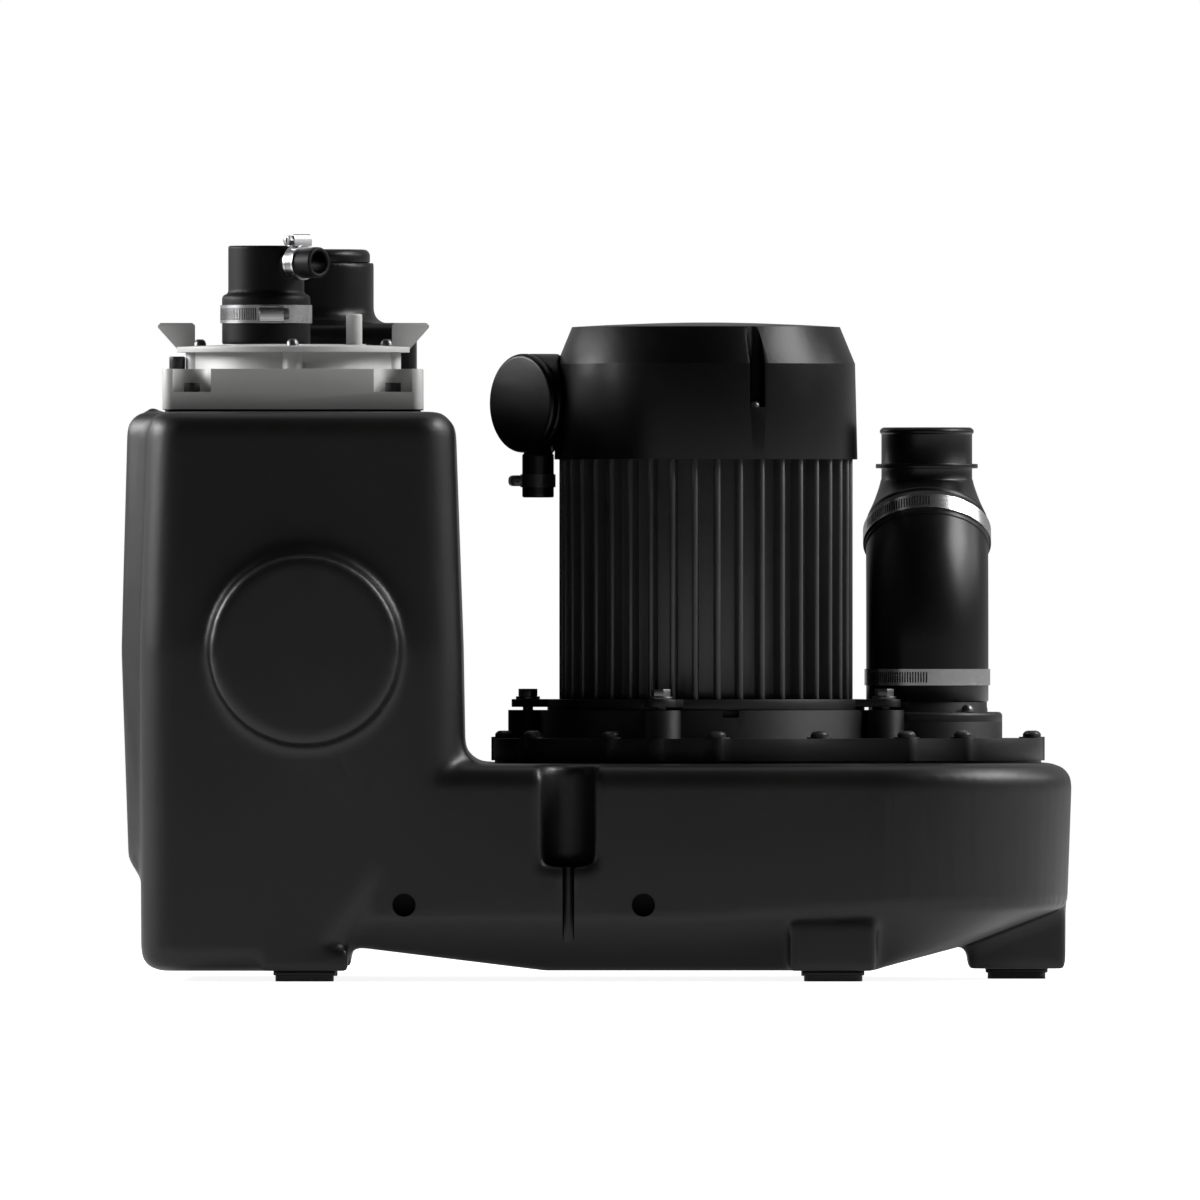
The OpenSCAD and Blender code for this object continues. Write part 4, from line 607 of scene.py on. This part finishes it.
def studio_floor():
    """A pale floor that keeps the shadow, with a glow that brings it up to white."""
    let_go()
    bpy.ops.mesh.primitive_plane_add(size=80.0, location=(0, 0, -0.0002))
    floor = named("studio_floor")
    ground = bpy.data.materials.new("pale_floor")
    ground.use_nodes = True
    tree = ground.node_tree
    shader = tree.nodes["Principled BSDF"]
    feed(ground, shader, Base_Color=(*neutral(0.70), 1), Roughness=0.7)
    shown, mirrored = ray_kinds(tree)
    seen = 0.90 * shown + 0.28 * mirrored
    glow = tree.nodes.new("ShaderNodeEmission")
    tree.links.new(seen.socket, glow.inputs["Strength"])
    both = tree.nodes.new("ShaderNodeAddShader")
    tree.links.new(shader.outputs["BSDF"], both.inputs[0])
    tree.links.new(glow.outputs["Emission"], both.inputs[1])
    tree.links.new(both.outputs["Shader"], tree.nodes["Material Output"].inputs["Surface"])
    floor.data.materials.append(ground)


def soft_boxes():
    """The lamps, each turned to its aim."""
    for name, power, size, at, aim in SOFT_BOXES:
        lamp = bpy.data.lights.new(name, "AREA")
        lamp.shape = "RECTANGLE"
        lamp.size, lamp.size_y = size
        lamp.energy = power
        holder = bpy.data.objects.new(name, lamp)
        holder.location = at
        holder.rotation_euler = (Vector(aim) - Vector(at)).to_track_quat("-Z", "Z").to_euler()
        bpy.context.scene.collection.objects.link(holder)


front_view()
white_room()
studio_floor()
soft_boxes()


# Tank: the moulded shell with soft edges, its anchor grooves and fixing holes


def wall_rods(name, side, along, radius, low, high):
    """Two rods across one wall, at its fixing holes."""
    return [
        rod(name, radius, high - low, 48,
            shift(x + along, side * (low + high) / 2, FIXING_HEIGHT) @ turn("X", 90))
        for x in FIXINGS
    ]


def anchor_cutter(side, along):
    """A round-backed slot and two plain holes, to be taken out of one wall."""
    slot = block("anchor_slot", GROOVE_SIZES, shift(GROOVE_X + along, side * GROOVE_Y, GROOVE_Z))
    edit(slot, "EDGE")
    pick_edges(slot, lambda a, b: abs(a.z - b.z) > 10 * MM and abs(a.y) < GROOVE_Y * MM)
    bpy.ops.mesh.bevel(offset=GROOVE_ROUND * MM, segments=8, affect="EDGES")
    done()
    holes = wall_rods("fixing_hole", side, along, FIXING_RADIUS, FIXING_END, FIXING_END + 40.0)
    return join("anchor_cutter", [slot, *holes])


def tank_shell():
    """The tank, filled at its fixing holes before it is softened, and cut sharply there afterwards."""
    fill = []
    for wall in WALLS:
        fill += wall_rods("fixing_fill", *wall, FIXING_RADIUS + 0.3, FIXING_END - 1.6, WALL_FACE - 0.05)
    shell = softened("tank", "tank_shell", voxel=3.0, passes=6, fill=fill)
    thin = shell.modifiers.new("flats", "DECIMATE")
    thin.decimate_type = "DISSOLVE"
    thin.angle_limit = math.radians(0.7)
    apply_modifiers(shell)
    for wall in WALLS:
        cut(shell, anchor_cutter(*wall))
    smooth(shell, 55)
    keep(shell, "tank_black", TANK, "tank")
    # Painted shade: the faces inside the fixing holes get a darker finish.
    shade_fixing_holes(shell)


def shade_fixing_holes(shell):
    """Gives the faces inside the fixing holes a darker, duller finish: painted shade in the holes."""
    # The matte rubber's darker tone inside the holes is painted shade, since the tank there is the same
    # plastic.
    shell.data.materials.append(MATTE)
    for face in shell.data.polygons:
        x, y, z = face.center / MM
        along = WALLS[y > 0][1]
        reach = min(math.hypot(x - hole - along, z - FIXING_HEIGHT) for hole in FIXINGS)
        inside = reach < FIXING_RADIUS + 0.1 and abs(y) < WALL_FACE - 0.5
        face.material_index = int(inside)


tank_shell()


# Motor hood: a turned shell with three screw channels


def motor_hood():
    wall, channel_radius, channel_length, channel_middle = 2.0, 4.65, 70.0, 65.0
    hood = turned("motor_hood_shell", [
        (0, PIN), (0, 87.9), (55.4, 86.5), (76.8, 77.7),
        (77.9, 58), (79.0, 30), (79.4, 12), (79.4, PIN),
    ], sides=160)
    for angle in HOOD_SCREW_ANGLES:
        channel = rod(
            "hood_channel", channel_radius, channel_length, 32,
            shift(HOOD_SCREW_PITCH, 0, channel_middle),
        )
        edit(channel)
        pick(channel, lambda centre, normal: normal.x > 0.01)
        grow((20.0, 0, 0))
        done()
        place(channel, turn("Z", angle))
        cut(hood, channel)
    edit(hood)
    pick(hood, lambda centre, normal: normal.z < -0.9 and centre.z < 1.0 * MM)
    bpy.ops.mesh.delete(type="FACE")
    done()
    thicken(hood, wall)
    bevel(hood, 0.9, segments=3, degrees=14)
    smooth(hood, 25)
    place(hood, shift(MOTOR_X, 0, HOOD_BASE))
    keep(hood, "gloss_black", HOOD, "motor_hood")


motor_hood()


# Hose clamps: slotted bands with their worm housings and screws


def slotted_band(name, radius, width, slots):
    """A steel band whose slots lie between two angles from its worm housing."""
    sides, proud, thickness, slot_gap, slot_height = 144, 1.0, 0.9, 0.24, 0.7
    low, high = slots
    band = rod(name, radius + proud, width, sides, shift(0, 0, width / 2), ends="NOTHING")
    edit(band)
    pick(band, lambda centre, normal: low < math.degrees(math.atan2(normal.y, normal.x)) % 360 < high)
    bpy.ops.mesh.inset(thickness=slot_gap * 2 * math.pi * radius / sides * MM, use_individual=True)
    bpy.ops.transform.resize(value=(1, 1, slot_height), center_override=(0, 0, width / 2 * MM))
    bpy.ops.mesh.delete(type="FACE")
    done()
    thicken(band, thickness)
    return band


def worm_housing(radius, width):
    """The arched box over the screw, with open ends."""
    rise, length, arch, sheet, hollow = 7.0, 14.0, 2.4, 0.7, 2.5
    box = block("worm_housing", (rise, length, width - 1.2), shift(radius + 4.0, 0, width / 2))
    edit(box, "EDGE")
    pick_edges(box, lambda a, b: abs(a.y - b.y) > 10 * MM and min(a.x, b.x) > (radius + 5) * MM)
    bpy.ops.mesh.bevel(offset=arch * MM, segments=5, affect="EDGES")
    bpy.ops.mesh.select_mode(type="FACE")
    pick(box, lambda centre, normal: abs(normal.y) > 0.9)
    bpy.ops.mesh.inset(thickness=sheet * MM)
    bpy.ops.mesh.extrude_region_shrink_fatten(TRANSFORM_OT_shrink_fatten={"value": -hollow * MM})
    done()
    return box


def worm_screw(radius, width):
    """A shank ringed like a thread, with a slotted hexagon head."""
    pitch, crest, root = 1.3, 2.2, 1.75
    length, head_height = 14.0, 3.4
    thread = [(0, PIN), (0, 1.7)]
    for k in range(10):
        thread += [(0.4 + pitch * k, crest), (1.05 + pitch * k, root)]
    shank = turned("worm_shank", [*thread, (length, root), (length, PIN)], sides=24)
    head = rod("worm_head", 3.3, head_height, 6, shift(0, 0, length + head_height / 2))
    bevel(head, 0.35)
    edit(head)
    pick(head, lambda centre, normal: normal.z > 0.98)
    bpy.ops.mesh.inset(thickness=0.9 * MM)
    bpy.ops.transform.resize(
        value=(1, 0.35, 1), center_override=(0, 0, (length + head_height) * MM)
    )
    grow((0, 0, -1.0))
    done()
    screw = join("worm_screw", [shank, head])
    place(screw, shift(radius + 3.8, -length / 2, width / 2) @ turn("X", -90))
    return screw


# Each clamp: node, radius, width, angles of its slots, finish and place
CLAMPS = (
    ("lower_clamp", ELBOW_RADIUS, 9.5, (100, 156), STEEL,
     shift(OUTLET_X, OUTLET_Y, LOWER_CLAMP_HEIGHT) @ turn("Z", 115)),
    ("upper_clamp", CUFF_RADIUS, 9.5, (110, 182), STEEL,
     shift(*CUFF_START) @ turn("X", -BEND) @ shift(0, 0, UPPER_CLAMP_RUN) @ turn("Z", 90)),
    ("vent_clamp", 25.6, 10.5, (268, 342), STEEL,
     shift(*VENT, VENT_CLAMP_HEIGHT) @ turn("Z", -84)),
    ("branch_clamp", 9.0, 7.5, (60, 140), STEEL,
     shift(*VENT, BRANCH_HEIGHT) @ turn("Z", -45) @ turn("Y", 90)
     @ shift(0, 0, BRANCH_CLAMP_RUN) @ turn("Z", 180)),
    ("cable_clamp", 9.2, 7.5, (100, 160), DARK_STEEL,
     shift(*CABLE_CLAMP) @ turn("Z", 185)),
)


def hose_clamps():
    screws = []
    for node, radius, width, slots, finish, matrix in CLAMPS:
        band = slotted_band(node + "_band", radius, width, slots)
        clamp = join(node + "_steel", [band, worm_housing(radius, width)])
        smooth(clamp, 30)
        place(clamp, matrix)
        keep(clamp, SLOTS[node], finish, node)
        screw = worm_screw(radius, width)
        place(screw, matrix)
        screw.data.materials.append(ZINC if finish is STEEL else finish)
        screws.append(screw)
    screws = join("worm_screws", screws)
    smooth(screws, 30)
    keep(screws, SLOTS["clamp_screws"], None, "clamp_screws")


hose_clamps()


# Discharge: the bent rubber sleeve and the outlet piece in its cuff


def rubber_elbow():
    """A straight foot, the bend, and a cuff that is a little wider, given by runs and radii."""
    radius = ELBOW_RADIUS
    elbow = turned("elbow_rubber", [
        (ELBOW_FOOT, radius - 0.8), (ELBOW_FOOT + 0.8, radius), (178.0, radius), (BEND_START, radius),
    ])
    place(elbow, shift(OUTLET_X, OUTLET_Y, 0))
    edit(elbow, "EDGE")
    pick_edges(elbow, lambda a, b: min(a.z, b.z) > (BEND_START - 0.1) * MM)
    bpy.ops.mesh.spin(
        steps=20,
        angle=math.radians(BEND),
        center=(OUTLET_X * MM, (OUTLET_Y + BEND_RADIUS) * MM, BEND_START * MM),
        axis=(1, 0, 0),
    )
    at = CUFF_START.copy()
    for run, wider in ((0.4, CUFF_RADIUS), (15.0, CUFF_RADIUS), (1.1, CUFF_RADIUS - 0.9)):
        at += run * CUFF_AXIS
        grow(run * CUFF_AXIS, wider / radius, at)
        radius = wider
    done()
    close_up(elbow)
    thicken(elbow, ELBOW_WALL)
    smooth(elbow, 50)
    keep(elbow, "rubber_black", RUBBER, "discharge_elbow")


def outlet_piece():
    """A skirt that rises from the tilted cuff to the upright spigot, with its ring and rim."""
    steps, tuck, collar = 10, 3.0, 2.6
    plug, skirt, neck, spigot, ring, rim, bore = 31.4, 35.0, 26.8, 26.4, 29.7, 27.3, 22.5
    outlet = turned("outlet_cap", [(0, plug), (tuck, plug), (tuck, skirt), (tuck + collar, skirt)])
    place(outlet, shift(*(CUFF_END - tuck * CUFF_AXIS)) @ turn("X", -BEND))
    edit(outlet, "EDGE")
    at = CUFF_END + collar * CUFF_AXIS
    pick_edges(outlet, lambda a, b: min((v / MM - at).dot(CUFF_AXIS) for v in (a, b)) > -0.1)
    run, radius = (SPIGOT_FOOT - at) / steps, skirt
    for k in range(1, steps + 1):
        wider = neck + (skirt - neck) * (1 - k / steps) ** 1.15
        at = at + run
        grow(run, wider / radius, at, math.radians(BEND) / steps)
        radius = wider
    for rise, wider in (
        (1.0, spigot), (6.0, spigot), (0.0, ring), (2.6, ring), (0.0, spigot), (17.4, spigot),
        (0.5, rim), (1.8, rim), (1.5, 25.6), (0.0, 23.2), (-1.0, bore), (-34.0, bore),
    ):
        at = at + Vector((0, 0, rise))
        grow(Vector((0, 0, rise)), wider / radius, at)
        radius = wider
    done()
    close_up(outlet)
    bevel(outlet, 0.5, degrees=40)
    smooth(outlet, 40)
    keep(outlet, "rubber_black", RUBBER, "outlet_piece")


rubber_elbow()
outlet_piece()


# Fasteners: one of each modelled, then copied to its places


def on_circle(x, y, radius, degrees):
    """A point of a circle about a middle."""
    angle = math.radians(degrees)
    return x + radius * math.cos(angle), y + radius * math.sin(angle)


def ring_of(centre, radius, angles, height):
    return [(*on_circle(*centre, radius, angle), height) for angle in angles]


def rim_places():
    """The bolts round the pump cover's round and its nose, as the source sets them."""
    round_rim, round_pitch = 123.5, 117.0
    nose_rim, nose_pitch, nose_x = 67.0, 60.5, 128.5
    flank = -math.degrees(math.acos((round_rim - nose_rim) / nose_x))
    start = Vector(on_circle(0, 0, round_pitch, flank))
    end = Vector(on_circle(nose_x, 0, nose_pitch, flank))
    front = [on_circle(0, 0, round_pitch, 180 + angle) for angle in (31, 62, 93, 124)]
    front += [on_circle(nose_x, 0, nose_pitch, -70.5), tuple(start + 0.62 * (end - start))]
    points = front + [(x, -y) for x, y in front] + [(-round_pitch, 0.0), (nose_x + nose_pitch, 0.0)]
    return [(MOTOR_X + x, y, RIM_BOLT_SEAT) for x, y in points]


def recessed_screw(name, radius, height, recess, shank, length):
    """A domed head with a round recess on a plain shank, its seat at the origin."""
    screw = turned(name, [
        (-length, PIN), (-length, shank), (0, shank), (0, radius), (height * 0.45, radius),
        (height * 0.8, radius * 0.82), (height, radius * 0.5), (height, recess),
    ], sides=24)
    edit(screw, "EDGE")
    pick_edges(screw, lambda a, b: min(a.z, b.z) > (height - 0.001) * MM
               and max(a.xy.length, b.xy.length) < (recess + 0.02) * MM)
    grow((0, 0, -height * 0.5), 0.95, (0, 0, height * 0.5))
    bpy.ops.mesh.edge_face_add()
    done()
    close_up(screw)
    smooth(screw, 35)
    return screw


def copies(model, name, places):
    """Own-mesh copies of a model at its places, joined to one piece."""
    made = []
    for point in places:
        twin = bpy.data.objects.new(name, model.data.copy())
        bpy.context.scene.collection.objects.link(twin)
        place(twin, shift(*point))
        made.append(twin)
    bpy.data.objects.remove(model)
    return join(name, made)


# Each set of screws: node, names of model and piece, finish, places, and the sizes of its recessed screw
SCREW_SETS = (
    ("cover_bolts", "rim_bolt", "rim_bolts", DARK_STEEL,
     rim_places(), (5.3, 3.6, 1.9, 3.0, 27.0)),
    ("hood_screws", "hood_screw", "hood_pan_screws", ZINC,
     ring_of((MOTOR_X, 0), HOOD_SCREW_PITCH, HOOD_SCREW_ANGLES, HOOD_SCREW_SEAT),
     (3.3, 3.4, 1.5, 1.75, 12.0)),
    ("nozzle_screws", "nozzle_screw", "nozzle_pan_screws", ZINC,
     ring_of((OUTLET_X, OUTLET_Y), NOZZLE_SCREW_PITCH, NOZZLE_SCREW_ANGLES, NOZZLE_SCREW_SEAT),
     (3.5, 4.0, 1.5, 2.0, 17.0)),
    ("cover_screws", "lid_screw", "lid_pan_screws", ZINC,
     ring_of(LID, LID_SCREW_PITCH, LID_SCREW_ANGLES, LID_SCREW_SEAT),
     (3.5, 4.4, 1.6, 2.0, 15.0)),
)

for node_name, model_name, piece_name, finish, places, sizes in SCREW_SETS:
    model = recessed_screw(model_name, *sizes)
    keep(copies(model, piece_name, places), SLOTS[node_name], finish, node_name)


# Rubber, cast and moulded pieces: softened copies of their CAD nodes

# Each: node, size of the remesh in millimetres, and passes of the smoothing
SOFT_PIECES = (
    ("vent_sleeve", 0.9, 3),
    ("switch_housing", 1.5, 5),
    ("terminal_housing", 1.2, 4),
    ("cable_nozzle", 0.7, 2),
)

for node_name, voxel, passes in SOFT_PIECES:
    piece = softened(node_name, node_name + "_soft", voxel, passes)
    smooth(piece, 50)
    keep(piece, SLOTS[node_name], finish_of(node_name), node_name)


# Rigid pieces: bevelled copies of their CAD nodes

# Each: node, width of the bevel in millimetres, and the angle of the edges it takes
EASED_PIECES = (
    ("pump_cover", 0.9, 30),
    ("motor_flange", 0.7, 30),
    ("motor_bolts", 0.5, 30),
    ("motor_washers", 0.25, 30),
    ("stator_housing", 0.4, 40),
    ("discharge_nozzle", 0.6, 30),
    ("inspection_base", 0.8, 30),
    ("inspection_cover", 0.6, 30),
    ("base_screws", 0.4, 30),
    ("air_nipple", 0.3, 30),
    ("side_plug", 0.3, 30),
    ("switch_cap", 0.3, 30),
    ("foot_pads", 0.8, 30),
    ("terminal_lid", 0.3, 30),
)

for node_name, width, degrees in EASED_PIECES:
    piece = cad_copy(node_name, node_name + "_eased")
    bevel(piece, width, degrees=degrees)
    smooth(piece, 32)
    keep(piece, SLOTS[node_name], finish_of(node_name), node_name)
